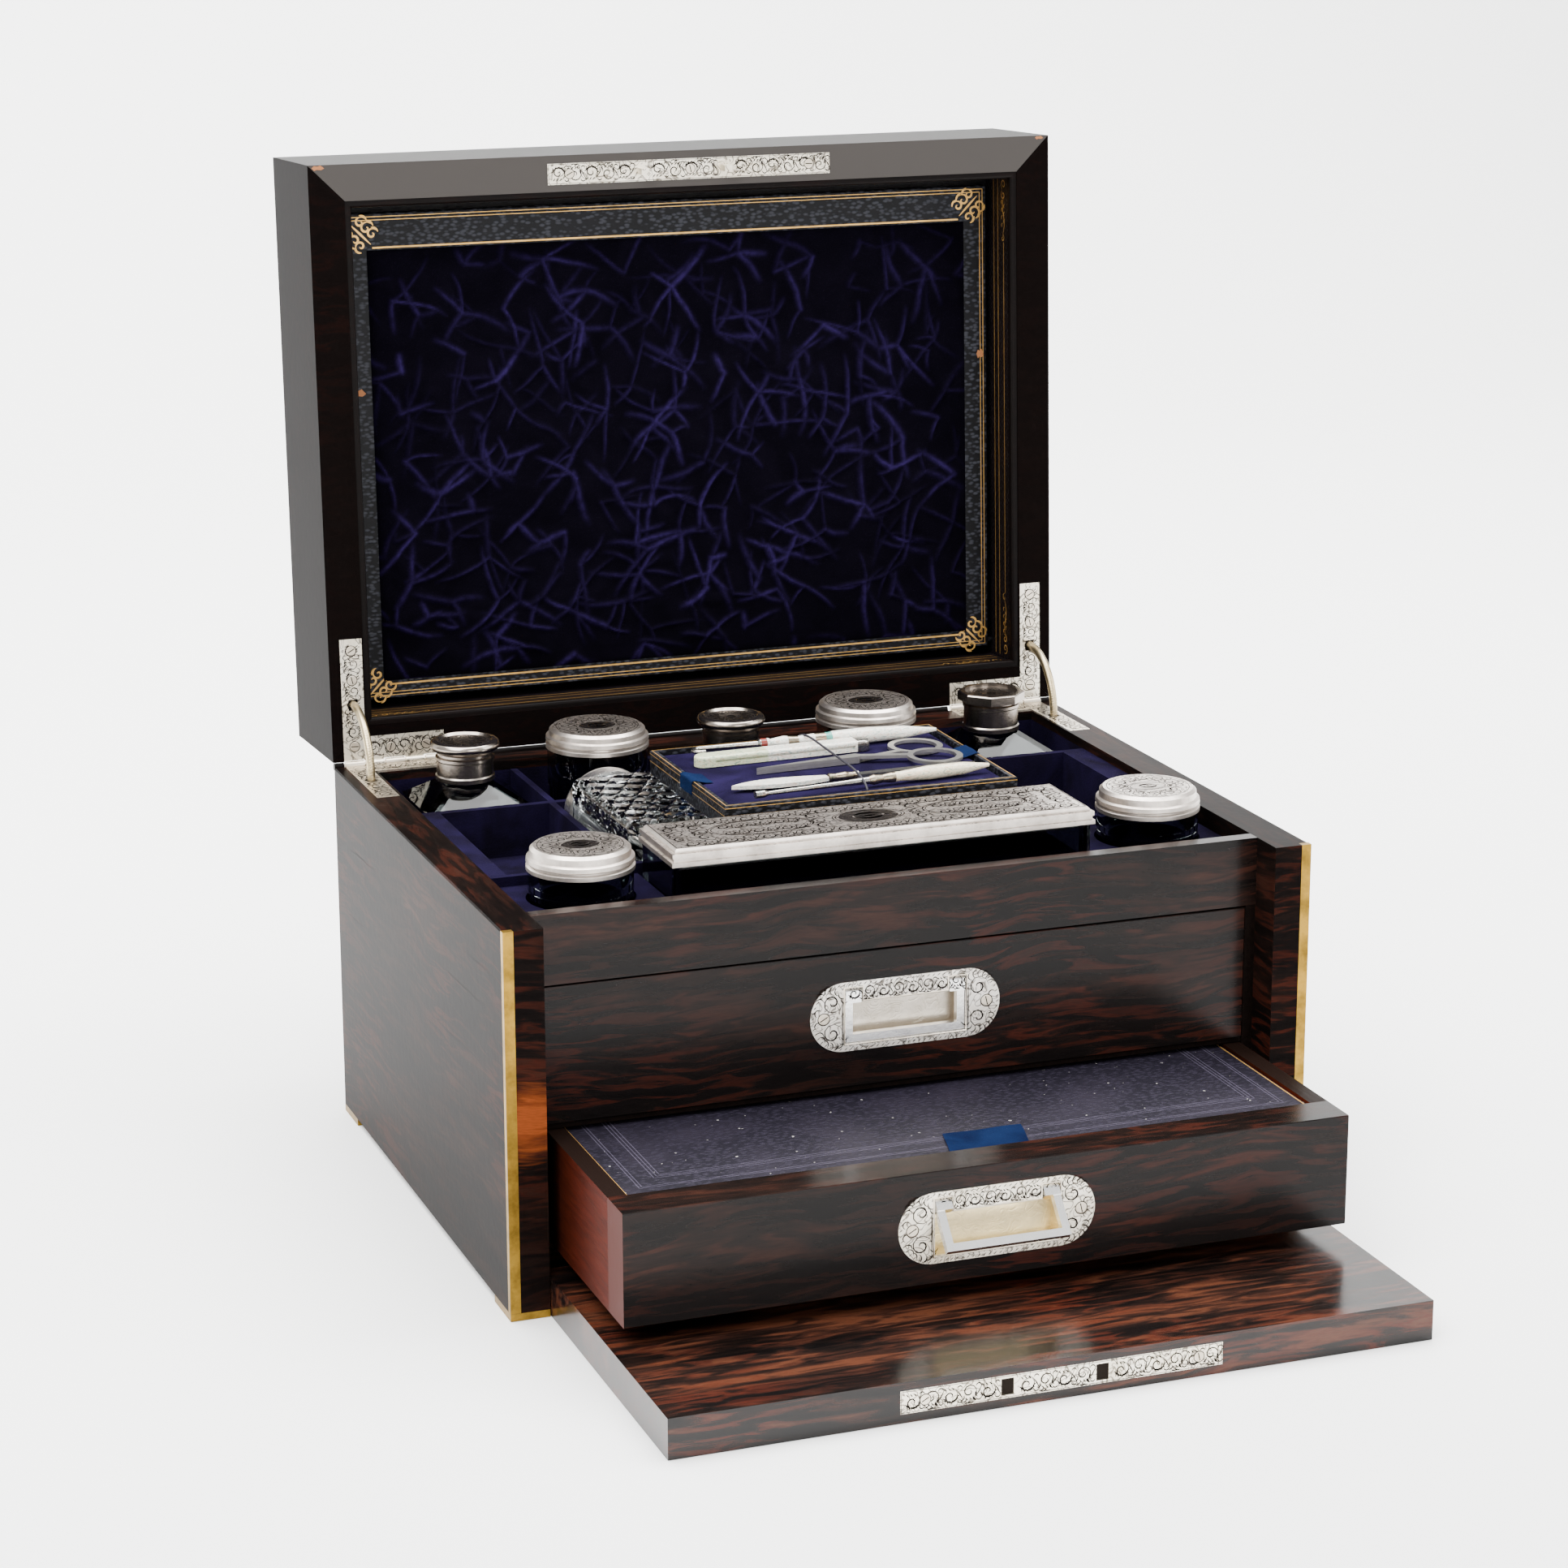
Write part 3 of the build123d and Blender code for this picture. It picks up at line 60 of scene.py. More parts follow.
# Measures that the boxes in the frame don't give
LIFT = 0.05  # how far drawn lines stand off the face that they lie on
PIN_BEHIND = 1.6  # from the case's back to the hinge pins
LID_GAP = 0.3  # between the case's rim and the closed lid
LID_ANGLE = math.radians(-92.5)
WELL_WALL = 17.0  # from the lid's outside to the leather inside
PANEL_DEPTH = 26.0  # from the lid's mouth to the panel's face
PANEL_HALF = 150.5
PANEL_NEAR, PANEL_FAR = 21.0, 234.0  # the panel's edges, from the case's back
LOCK_LENGTH = 129.5
LOCK_WIDTH = 9.0

# Places that several pieces share, read from the frame
SIDE_LOW, SIDE_HIGH = corners("side_left")
RIM_Z = SIDE_HIGH.z
FRONT_Y = SIDE_LOW.y
BACK_Y = SIDE_HIGH.y
HALF_WIDTH = corners("side_right")[1].x
PIVOT_Y = BACK_Y + PIN_BEHIND
PIVOT_Z = RIM_Z + LID_GAP / 2
LID_Z = RIM_Z + LID_GAP


# ---------------------------------------------------------------- materials


def linear(hex_colour):
    """An sRGB colour such as #1d1512 as the linear colour that the shader works in."""
    parts = [int(hex_colour[i:i + 2], 16) / 255 for i in (1, 3, 5)]
    return [c / 12.92 if c <= 0.04045 else ((c + 0.055) / 1.055) ** 2.4 for c in parts] + [1]


def fill(tree, socket, value):
    """Link a socket to another one, or set it, where a colour may be a hex value."""
    if isinstance(value, bpy.types.NodeSocket):
        tree.links.new(value, socket)
    else:
        socket.default_value = linear(value) if isinstance(value, str) else value


def add(tree, kind, sockets=(), out=0, stops=(), **settings):
    """Add one node with its settings and links, and give one of its outputs."""
    node = tree.nodes.new("ShaderNode" + kind)
    for key, value in settings.items():
        setattr(node, key, value)
    for key, value in dict(sockets).items():
        fill(tree, node.inputs[key], value)
    for place, colour in stops[2:]:
        node.color_ramp.elements.new(place)
    for number, (place, colour) in enumerate(stops):
        stop = node.color_ramp.elements[number]
        stop.position = place
        stop.color = linear(colour) if isinstance(colour, str) else (colour, colour, colour, 1)
    return node.outputs[out]


LOOKS = {"base": "Base Color", "roughness": "Roughness", "metallic": "Metallic",
         "specular": "Specular IOR Level", "transmission": "Transmission Weight", "ior": "IOR",
         "sheen": "Sheen Weight", "sheen_roughness": "Sheen Roughness", "sheen_tint": "Sheen Tint",
         "normal": "Normal"}
# Places of the sockets of a colour Mix node
SHARE, ONE, OTHER, MIXED = 0, 6, 7, 2


def dress(tree, **looks):
    """Set or link the surface's sockets."""
    surface = tree.nodes["Principled BSDF"]
    for key, value in looks.items():
        fill(tree, surface.inputs[LOOKS[key]], value)


def new_finish(name, **looks):
    """A new material with its surface's sockets set, and the node tree to build on."""
    material = bpy.data.materials.new(name)
    material.use_nodes = True
    dress(material.node_tree, **looks)
    return material, material.node_tree


def veneer(name, grain_way, gloss, figure=1.0, front_way=None, ends=None, shine=0.24, painted_reflection=None, burr=None):
    """Coromandel veneer, French polished: near black, with long soft waves of brown and a few
    red-brown streaks. The grain runs along one way, or another on the faces that look forward.
    A painted reflection is a pale grey painted on the mouth of the lid's front board, in place of what its
    polish reflects, and a burr is the middle of an orange-brown patch, about 30 mm across, on a face that
    looks forward."""
    material, tree = new_finish(name, specular=gloss, roughness=shine)
    spot = add(tree, "TexCoord", out="Object")
    facing = add(tree, "VectorMath", {0: add(tree, "TexCoord", out="Normal")}, operation="ABSOLUTE")
    grain = add(tree, "VectorMath", {0: spot, 1: grain_way}, operation="MULTIPLY")
    if front_way:
        forward = add(tree, "SeparateXYZ", {0: facing}, "Y")
        front = add(tree, "Math", {0: forward, 1: 0.5}, operation="GREATER_THAN")
        across = add(tree, "VectorMath", {0: spot, 1: front_way}, operation="MULTIPLY")
        grain = add(tree, "Mix", {SHARE: front, ONE: grain, OTHER: across}, MIXED, data_type="RGBA")
    # The waves carry the grain up and down by about 6 mm over 70 mm of its length
    wave = add(tree, "TexNoise", {"Vector": spot, "Scale": 14.0, "Detail": 2.0, "Distortion": 0.4})
    drift = add(tree, "CombineXYZ", {2: add(tree, "Math", {0: wave, 1: 0.11}, operation="MULTIPLY")})
    grain = add(tree, "VectorMath", {0: grain, 1: drift}, operation="ADD")
    bands = add(tree, "TexNoise", {"Vector": grain, "Scale": 7.0, "Detail": 3.0, "Distortion": 0.5})
    lines = add(tree, "TexNoise", {"Vector": grain, "Scale": 34.0, "Detail": 5.0, "Distortion": 0.9})
    pores = add(tree, "TexNoise", {"Vector": grain, "Scale": 300.0, "Detail": 3.0, "Distortion": 0.2})
    patch = add(tree, "TexNoise", {"Vector": spot, "Scale": 9.0, "Detail": 3.0, "Distortion": 0.3})
    tone = add(tree, "Math", {0: lines, 1: 0.55}, operation="MULTIPLY")
    tone = add(tree, "Math", {0: bands, 1: 0.55, 2: tone}, operation="MULTIPLY_ADD")
    tone = add(tree, "Math", {0: tone, 1: figure, 2: (1 - figure) * 0.42}, operation="MULTIPLY_ADD")
    colour = add(tree, "ValToRGB", {0: tone}, stops=((0.36, "#070505"), (0.5, "#0d0908"), (0.6, "#180f0c"),
                                                     (0.7, "#2a1812"), (0.82, "#4a2a1c")))
    vein = add(tree, "ValToRGB", {0: lines}, stops=((0.5, 0.0), (0.6, 0.8), (0.66, 0.3), (0.74, 0.0)))
    where = add(tree, "ValToRGB", {0: patch}, stops=((0.44, 0.1 * figure), (0.68, 0.8 * figure)))
    streak = add(tree, "Math", {0: vein, 1: where}, operation="MULTIPLY")
    colour = add(tree, "Mix", {SHARE: streak, ONE: colour, OTHER: "#431a10"}, MIXED, data_type="RGBA")
    if burr:
        away = add(tree, "VectorMath", {0: spot, 1: burr}, "Value", operation="DISTANCE")
        ragged = add(tree, "Math", {0: lines, 1: 0.6}, operation="MULTIPLY")
        edge = add(tree, "Math", {0: away, 1: 22.0, 2: ragged}, operation="MULTIPLY_ADD")
        patch = add(tree, "ValToRGB", {0: edge}, stops=((0.4, 0.9), (0.66, 0.0)))
        patch = add(tree, "Math", {0: patch, 1: front}, operation="MULTIPLY")
        colour = add(tree, "Mix", {SHARE: patch, ONE: colour, OTHER: "#74381a"}, MIXED, data_type="RGBA")
    fleck = add(tree, "ValToRGB", {0: pores}, stops=((0.36, 0.6), (0.58, 1.0)))
    colour = add(tree, "Mix", {SHARE: 0.5, ONE: colour, OTHER: fleck}, MIXED, data_type="RGBA",
                 blend_type="MULTIPLY")
    if ends:
        sideways = add(tree, "SeparateXYZ", {0: facing}, "X")
        end = add(tree, "Math", {0: sideways, 1: 0.7}, operation="GREATER_THAN")
        colour = add(tree, "Mix", {SHARE: end, ONE: colour, OTHER: ends}, MIXED, data_type="RGBA")
        dress(tree, roughness=add(tree, "Math", {0: end, 1: 0.3, 2: shine}, operation="MULTIPLY_ADD"))
    # Painted reflection: a flat pale grey on the mouth of the lid's front board stands in for what its polish
    # reflects.
    if painted_reflection:
        x, z = (add(tree, "SeparateXYZ", {0: spot}, way) for way in "XZ")
        beside = add(tree, "Math", {0: x}, operation="ABSOLUTE")
        mitre = add(tree, "Math", {0: z, 1: beside}, operation="SUBTRACT")
        mitre_z = corners("lid_sides")[1].z * MM - HALF_WIDTH * MM
        front_board = add(tree, "Math", {0: mitre, 1: mitre_z}, operation="GREATER_THAN")
        forward = add(tree, "SeparateXYZ", {0: add(tree, "TexCoord", out="Normal")}, "Y")
        mouth = add(tree, "Math", {0: forward, 1: -0.7}, operation="LESS_THAN")
        painted_reflection_mask = add(tree, "Math", {0: front_board, 1: mouth}, operation="MULTIPLY")
        colour = add(tree, "Mix", {SHARE: painted_reflection_mask, ONE: colour, OTHER: painted_reflection}, MIXED, data_type="RGBA")
    ripple = add(tree, "TexNoise", {"Vector": spot, "Scale": 240.0, "Detail": 3.0})
    dress(tree, base=colour, normal=add(tree, "Bump", {"Height": ripple, "Distance": 0.00003}))
    return material


def plain_wood(name, near, far, near_y, far_y):
    """Stained and polished plain wood, from one colour to another between two places along Y, with ebonised
    top edges. The change along Y is painted light: painted shade further into the case, and on the drawer's
    sides a painted highlight towards the front."""
    material, tree = new_finish(name, roughness=0.42, specular=0.03)
    spot = add(tree, "TexCoord", out="Object")
    # The colour change along Y is painted: shade deeper into the case, and on the drawer's sides a highlight
    # towards the front.
    depth = add(tree, "SeparateXYZ", {0: spot}, "Y")
    share = add(tree, "MapRange", {"Value": depth, "From Min": near_y * MM, "From Max": far_y * MM})
    stretched = add(tree, "VectorMath", {0: spot, 1: (9, 1, 9)}, operation="MULTIPLY")
    grain = add(tree, "TexNoise", {"Vector": stretched, "Scale": 60.0, "Detail": 5.0, "Distortion": 0.5})
    colour = add(tree, "Mix", {SHARE: share, ONE: near, OTHER: far}, MIXED, data_type="RGBA")
    dark = add(tree, "ValToRGB", {0: grain}, stops=((0.35, 0.5), (0.6, 1.0)))
    colour = add(tree, "Mix", {SHARE: 0.7, ONE: colour, OTHER: dark}, MIXED, data_type="RGBA",
                 blend_type="MULTIPLY")
    upward = add(tree, "SeparateXYZ", {0: add(tree, "TexCoord", out="Normal")}, "Z")
    top = add(tree, "Math", {0: upward, 1: 0.7}, operation="GREATER_THAN")
    colour = add(tree, "Mix", {SHARE: top, ONE: colour, OTHER: "#150d0a"}, MIXED, data_type="RGBA")
    dress(tree, base=colour, normal=add(tree, "Bump", {"Height": grain, "Distance": 0.0001}))
    return material


def velvet(name, ground, pile, sheen=0.25, crease=None):
    """Silk velvet: a dark ground with a paler nap, and paler still on the creases' crests, which is partly
    worn pile and partly painted sheen. With little sheen it does for the silk of the ribbons."""
    material, tree = new_finish(name, roughness=0.95, specular=0.02, sheen=sheen, sheen_roughness=0.4,
                                sheen_tint=pile)
    spot = add(tree, "TexCoord", out="Object")
    nap = add(tree, "TexNoise", {"Vector": spot, "Scale": 55.0, "Detail": 5.0, "Distortion": 0.6})
    share = add(tree, "ValToRGB", {0: nap}, stops=((0.35, 0.0), (0.75, 0.7)))
    colour = add(tree, "Mix", {SHARE: share, ONE: ground, OTHER: pile}, MIXED, data_type="RGBA")
    # Paler crests: partly worn pile, partly painted sheen where the crests catch the light.
    if crease:
        ridge = add(tree, "Attribute", out="Fac", attribute_name="ridge")
        rub = add(tree, "TexNoise", {"Vector": spot, "Scale": 330.0, "Detail": 3.0})
        rubbed = add(tree, "ValToRGB", {0: rub}, stops=((0.32, 0.5), (0.62, 1.0)))
        worn = add(tree, "Math", {0: ridge, 1: rubbed}, operation="MULTIPLY")
        colour = add(tree, "Mix", {SHARE: worn, ONE: colour, OTHER: crease}, MIXED, data_type="RGBA")
    tufts = add(tree, "TexNoise", {"Vector": spot, "Scale": 1500.0, "Detail": 2.0})
    dress(tree, base=colour, normal=add(tree, "Bump", {"Height": tufts, "Distance": 0.0002}))
    return material


def leather(name, ground, worn, pebble_top_highlight, roughness, specks=None):
    """Morocco leather, paler where it has been rubbed, and with a painted highlight on the tops of its
    pebbles. Its pebbles are about 1 mm across, and drawn 1.5 mm wide and 2.8 mm long, which is what still
    shows in the picture."""
    material, tree = new_finish(name, roughness=roughness, specular=0.15)
    spot = add(tree, "TexCoord", out="Object")
    rub = add(tree, "TexNoise", {"Vector": spot, "Scale": 26.0, "Detail": 5.0})
    rubbed = add(tree, "ValToRGB", {0: rub}, stops=((0.45, 0.0), (0.78, 0.8)))
    colour = add(tree, "Mix", {SHARE: rubbed, ONE: ground, OTHER: worn}, MIXED, data_type="RGBA")
    slanted = add(tree, "Mapping", {"Vector": spot, "Rotation": (0.3, 0.6, 0.5), "Scale": (0.8, 1.5, 1.5)})
    grain = add(tree, "TexVoronoi", {"Vector": slanted, "Scale": 440.0})
    # Painted highlight: the pebbles' tops take a paler colour.
    top = add(tree, "ValToRGB", {0: grain}, stops=((0.25, 1.0), (0.55, 0.0)))
    colour = add(tree, "Mix", {SHARE: top, ONE: colour, OTHER: pebble_top_highlight}, MIXED, data_type="RGBA")
    if specks:
        dust = add(tree, "TexNoise", {"Vector": spot, "Scale": 420.0, "Detail": 1.0})
        spots = add(tree, "ValToRGB", {0: dust}, stops=((0.765, 0.0), (0.785, 0.6)))
        colour = add(tree, "Mix", {SHARE: spots, ONE: colour, OTHER: specks}, MIXED, data_type="RGBA")
    dress(tree, base=colour, normal=add(tree, "Bump", {"Height": top, "Distance": 0.00012}))
    return material


def metal(name, bright, tarnish, roughness, spread=0.45, metallic=1.0, engraved=None, pan=None, pan_y=0.0):
    """Old metal, tarnished in patches. Engraving draws fine curling lines on the faces that look one
    way, given as an axis, and a pan is the other colour of what lies behind a place along Y."""
    material, tree = new_finish(name, roughness=roughness, metallic=metallic)
    spot = add(tree, "TexCoord", out="Object")
    cloud = add(tree, "TexNoise", {"Vector": spot, "Scale": 95.0, "Detail": 5.0})
    spots = add(tree, "TexNoise", {"Vector": spot, "Scale": 620.0, "Detail": 3.0})
    worn = add(tree, "Math", {0: cloud, 1: 0.8}, operation="MULTIPLY")
    worn = add(tree, "Math", {0: spots, 1: 0.25, 2: worn}, operation="MULTIPLY_ADD")
    dull = add(tree, "ValToRGB", {0: worn}, stops=((0.42, 0.0), (0.75, spread)))
    colour = add(tree, "Mix", {SHARE: dull, ONE: bright, OTHER: tarnish}, MIXED, data_type="RGBA")
    height = spots
    if engraved:
        # Level lines of a soft noise curl like the cut scrolls, 2 to 3 mm apart
        field = add(tree, "TexNoise", {"Vector": spot, "Scale": 170.0, "Detail": 1.0, "Distortion": 1.2})
        rows = add(tree, "Math", {0: field, 1: 4.6}, operation="MULTIPLY")
        rows = add(tree, "Math", {0: rows, 1: 0.5}, operation="PINGPONG")
        cut = add(tree, "ValToRGB", {0: rows}, stops=((0.0, 1.0), (0.2, 0.0)))
        facing = add(tree, "VectorMath", {0: add(tree, "TexCoord", out="Normal")}, operation="ABSOLUTE")
        flat = add(tree, "SeparateXYZ", {0: facing}, engraved)
        flat = add(tree, "Math", {0: flat, 1: 0.9}, operation="GREATER_THAN")
        cut = add(tree, "Math", {0: cut, 1: flat}, operation="MULTIPLY")
        share = add(tree, "Math", {0: cut, 1: 0.9}, operation="MULTIPLY")
        colour = add(tree, "Mix", {SHARE: share, ONE: colour, OTHER: "#3a3127"}, MIXED, data_type="RGBA")
        height = add(tree, "Math", {0: 1.0, 1: cut}, operation="SUBTRACT")
    if pan:
        depth = add(tree, "SeparateXYZ", {0: spot}, "Y")
        inside = add(tree, "Math", {0: depth, 1: pan_y * MM}, operation="GREATER_THAN")
        stained = add(tree, "Mix", {SHARE: dull, ONE: pan, OTHER: "#a3957a"}, MIXED, data_type="RGBA")
        colour = add(tree, "Mix", {SHARE: inside, ONE: colour, OTHER: stained}, MIXED, data_type="RGBA")
    dress(tree, base=colour, normal=add(tree, "Bump", {"Height": height, "Distance": 0.00004}),
          roughness=add(tree, "Math", {0: cloud, 1: 0.12, 2: roughness - 0.05}, operation="MULTIPLY_ADD"))
    return material


def glass(name, tint, ior, cuts=None):
    """Lead glass, where cuts are the slanting rows that are cut into the top of the flask, in mm.
    The plain vessels have a lower IOR than the real 1.52, so that the wells show through them."""
    material, tree = new_finish(name, base=tint, roughness=0.01, transmission=1.0, ior=ior)
    if cuts:
        across, along, top_z = cuts
        place = add(tree, "TexCoord", out="Object")
        x, y, z = (add(tree, "SeparateXYZ", {0: place}, way) for way in "XYZ")
        top = add(tree, "Math", {0: z, 1: top_z * MM}, operation="GREATER_THAN")
        slant = add(tree, "Math", {0: x, 1: 0.55, 2: y}, operation="MULTIPLY_ADD")
        rows = add(tree, "Math", {0: slant, 1: along * MM}, operation="PINGPONG")
        lean = add(tree, "Math", {0: y, 1: -0.55, 2: x}, operation="MULTIPLY_ADD")
        columns = add(tree, "Math", {0: lean, 1: across * MM}, operation="PINGPONG")
        bowl = add(tree, "Math", {0: rows, 1: columns}, operation="MULTIPLY")
        bowl = add(tree, "Math", {0: bowl, 1: 1 / (along * across * MM * MM)}, operation="MULTIPLY")
        height = add(tree, "Math", {0: bowl, 1: top}, operation="MULTIPLY")
        dress(tree, normal=add(tree, "Bump", {"Height": height, "Distance": 0.0016}))
    return material


def tool_bands(name, *bands):
    """A tool of several materials along X, from -50 to 90 mm: each band is its start in mm, its
    colour, its metallic and its roughness. Pearl and steel both shimmer a little."""
    start, end = -50.0, 90.0
    material, tree = new_finish(name)
    spot = add(tree, "TexCoord", out="Object")
    along = add(tree, "SeparateXYZ", {0: spot}, "X")
    place = add(tree, "MapRange", {"Value": along, "From Min": start * MM, "From Max": end * MM})
    for number, look in enumerate(("base", "metallic", "roughness"), 1):
        stops = [((band[0] - start) / (end - start), band[number]) for band in bands]
        ramp = add(tree, "ValToRGB", {0: place}, stops=stops)
        ramp.node.color_ramp.interpolation = "CONSTANT"
        dress(tree, **{look: ramp})
        if look == "base":
            plain = ramp
    stretched = add(tree, "VectorMath", {0: spot, 1: (1, 3, 3)}, operation="MULTIPLY")
    shimmer = add(tree, "TexNoise", {"Vector": stretched, "Scale": 240.0, "Detail": 4.0, "Distortion": 2.0})
    tint = add(tree, "ValToRGB", {0: shimmer}, stops=((0.34, "#8ea4a4"), (0.5, "#ffffff"), (0.66, "#cdb4a8")))
    colour = add(tree, "Mix", {SHARE: 0.85, ONE: plain, OTHER: tint}, MIXED, data_type="RGBA",
                 blend_type="MULTIPLY")
    dress(tree, base=colour)
    return material


LENGTHWISE = (1.0, 7.0, 9.0)
DEPTHWISE = (7.0, 1.0, 9.0)

VENEER = veneer("coromandel_veneer", LENGTHWISE, 0.12)
DRAWER_VENEER = veneer("coromandel_drawers", LENGTHWISE, 0.12, 0.9, ends="#3c0f05")
FLAP_VENEER = veneer("coromandel_flap", LENGTHWISE, 0.3, 1.7, shine=0.2)
SIDE_VENEER = veneer("coromandel_sides", DEPTHWISE, 0.01, 0.8, LENGTHWISE, shine=0.3,
                     burr=(-161 * MM, FRONT_Y * MM, 81 * MM))
# The lid's veneer carries a painted reflection on the mouth of its front board.
LID_VENEER = veneer("coromandel_lid", (2.2, 8.0, 8.0), 0.003, 0.1, shine=0.3, painted_reflection="#3b3836")
BEAD_WOOD = veneer("ebonised_bead", LENGTHWISE, 0.05, 0.1, shine=0.35)
CARCASE_WOOD = plain_wood("dark_carcase_wood", "#20150f", "#20150f", -100, 100)
CHEEK_WOOD = plain_wood("ebonised_cheeks_with_painted_shade", "#100a08", "#0a0706", -120, -60)
DRAWER_WOOD = plain_wood("stained_mahogany_with_painted_light", "#491408", "#1c0904", -200, -125)
VELVET = velvet("violet_silk_velvet", "#0b0813", "#18122e")
TRAY_VELVET = velvet("violet_tray_velvet", "#0e0a1c", "#1f1838", 0.3)
RUCHED_VELVET = velvet("crushed_violet_velvet", "#030206", "#07050d", 0.03, "#231840")
MOROCCO = leather("black_morocco", "#040406", "#0c0c11", "#2b2c32", 0.5)
BOARD_LEATHER = leather("faded_purple_leather", "#100d16", "#241f29", "#1e1a25", 0.55, "#a8a4a0")
WALL_LEATHER = leather("plum_black_leather", "#070506", "#0f090c", "#100b0f", 0.45)
SILK = velvet("blue_silk", "#070f26", "#101f3c", 0.06)
CORD_SILK = new_finish("dark_silk_cord", base="#14101c", roughness=0.7)[0]
BRASS = metal("aged_brass", "#96752c", "#403010", 0.38, 0.8)
GILT_METAL = metal("worn_gilt_brass", "#c9b894", "#7d6b48", 0.32, 0.7)
PLATE_METAL = metal("engraved_silver_plate", "#ded3c2", "#a4967c", 0.36, 0.5, engraved="Z")
FRONT_PLATE_METAL = metal("engraved_upright_plate", "#f4ecdc", "#b8a98a", 0.4, 0.5, engraved="Y")
UPPER_HANDLE = metal("upper_handle_silver", "#f0eae2", "#b4a894", 0.38, 0.5, engraved="Y", pan="#e6dccd",
                     pan_y=corners("upper_handle_plate")[0].y + 0.9)
LOWER_HANDLE = metal("lower_handle_gilt", "#f2ebdd", "#b8a98a", 0.38, 0.5, engraved="Y", pan="#ecd9a8",
                     pan_y=corners("lower_handle_plate")[0].y + 0.9)
SILVER = metal("old_silver", "#a89e94", "#5f574e", 0.22, 0.7)
LID_SILVER = metal("engraved_silver_lids", "#ddd3ca", "#7a7066", 0.34, 0.6, engraved="Z")
BRIGHT_SILVER = metal("polished_silver", "#fdfcfa", "#d8d2c8", 0.25, 0.3)
STEEL = metal("polished_steel", "#d6d3cd", "#9c978f", 0.34, 0.4)
ENGRAVED = new_finish("engraved_lines", base="#150f0a", roughness=0.8, specular=0.1)[0]
GILDING = metal("gold_leaf", "#d6a85c", "#8c6628", 0.42, 0.7, 0.7)
CRYSTAL = glass("lead_glass", "#a9b3b3", 1.3)
FLASK_CRYSTAL = glass("slant_cut_glass", "#f2f6f6", 1.52, (4.6, 5.6, 166.5))
CHIPPED = new_finish("bare_chipped_wood", base="#8a5630", roughness=0.85)[0]
CRACK = new_finish("open_crack", base="#050404", roughness=0.9)[0]
BLIND_LINE = leather("blind_tooled_line", "#3a3642", "#4c4753", "#423d4a", 0.4)
PEARL = "#e9e6dc"
STEEL_GREY = "#b4b1ab"
FERRULE = "#a79c88"

slot_finishes = {
    "ebony_veneer": VENEER, "bottom_wood": CARCASE_WOOD, "drawer_wood": DRAWER_WOOD, "velvet": VELVET,
    "morocco": MOROCCO, "tooled_leather": BOARD_LEATHER, "silk": SILK, "dark_cord": CORD_SILK,
    "brass": BRASS, "stay_brass": GILT_METAL, "engraved_plate": PLATE_METAL, "pin_steel": STEEL,
    "bail_silver": BRIGHT_SILVER, "cut_glass": CRYSTAL, "silver": SILVER, "tool_steel": STEEL,
    "pearl_and_steel": STEEL, "pearl_scales": STEEL,
}
node_finishes = {
    "side_left": SIDE_VENEER, "side_right": SIDE_VENEER, "lid_sides": LID_VENEER, "lid_top": LID_VENEER,
    "lid_bead": BEAD_WOOD, "lid_lining": WALL_LEATHER, "flap_board": FLAP_VENEER,
    "upper_front": DRAWER_VENEER, "lower_front": DRAWER_VENEER, "drawer_guides": CHEEK_WOOD,
    "flask": FLASK_CRYSTAL, "flask_cap": BRIGHT_SILVER,
    "jar_left_lid": LID_SILVER, "jar_right_lid": LID_SILVER,
    "pot_left_lid": LID_SILVER, "pot_right_lid": LID_SILVER, "long_box_lid": LID_SILVER,
    "lid_lock_plate": FRONT_PLATE_METAL, "lid_hinges": FRONT_PLATE_METAL, "flap_lock": FRONT_PLATE_METAL,
    "upper_handle_plate": UPPER_HANDLE, "lower_handle_plate": LOWER_HANDLE,
    "button_hook": tool_bands("button_hook_finish", (-50, STEEL_GREY, 1.0, 0.25), (-6, "#7c2a20", 0.0, 0.3),
                              (-3, PEARL, 0.0, 0.2), (6, FERRULE, 1.0, 0.3), (11, PEARL, 0.0, 0.2),
                              (18, FERRULE, 1.0, 0.3), (23, "#4fa093", 0.0, 0.3), (26, PEARL, 0.0, 0.2)),
    "nail_file": tool_bands("nail_file_finish", (-50, PEARL, 0.0, 0.2), (3, FERRULE, 1.0, 0.3),
                            (16, STEEL_GREY, 1.0, 0.3)),
    "cuticle_pick": tool_bands("cuticle_pick_finish", (-50, STEEL_GREY, 1.0, 0.25), (16, FERRULE, 1.0, 0.3),
                               (28, "#e8dcc0", 0.0, 0.22)),
    "penknife": tool_bands("penknife_finish", (-50, "#c9cfb0", 0.0, 0.22), (-8, PEARL, 0.0, 0.2),
                           (33, STEEL_GREY, 1.0, 0.25)),
}
for row in frame["record"]["subparts"]:
    mesh = frame["nodes"][row["node"]].data
    mesh.materials.clear()
    mesh.materials.append(node_finishes.get(row["node"], slot_finishes[row["material_slot"]]))


# ---------------------------------------------------------------- how pieces are made and placed


def finished(name, form, material, body, smooth=False):
    """A piece from a form in mm, riding on a CAD body."""
    bmesh.ops.scale(form, vec=(MM, MM, MM), verts=form.verts)
    mesh = bpy.data.meshes.new(name)
    form.to_mesh(mesh)
    form.free()
    mesh.materials.append(material)
    if smooth:
        mesh.polygons.foreach_set("use_smooth", [True] * len(mesh.polygons))
    return settled(name, mesh, body)


def settled(name, data, body):
    """A mesh or curve as an object that rides on a body."""
    made = bpy.data.objects.new(name, data)
    SCENE.collection.objects.link(made)
    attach(made, body)
    return made


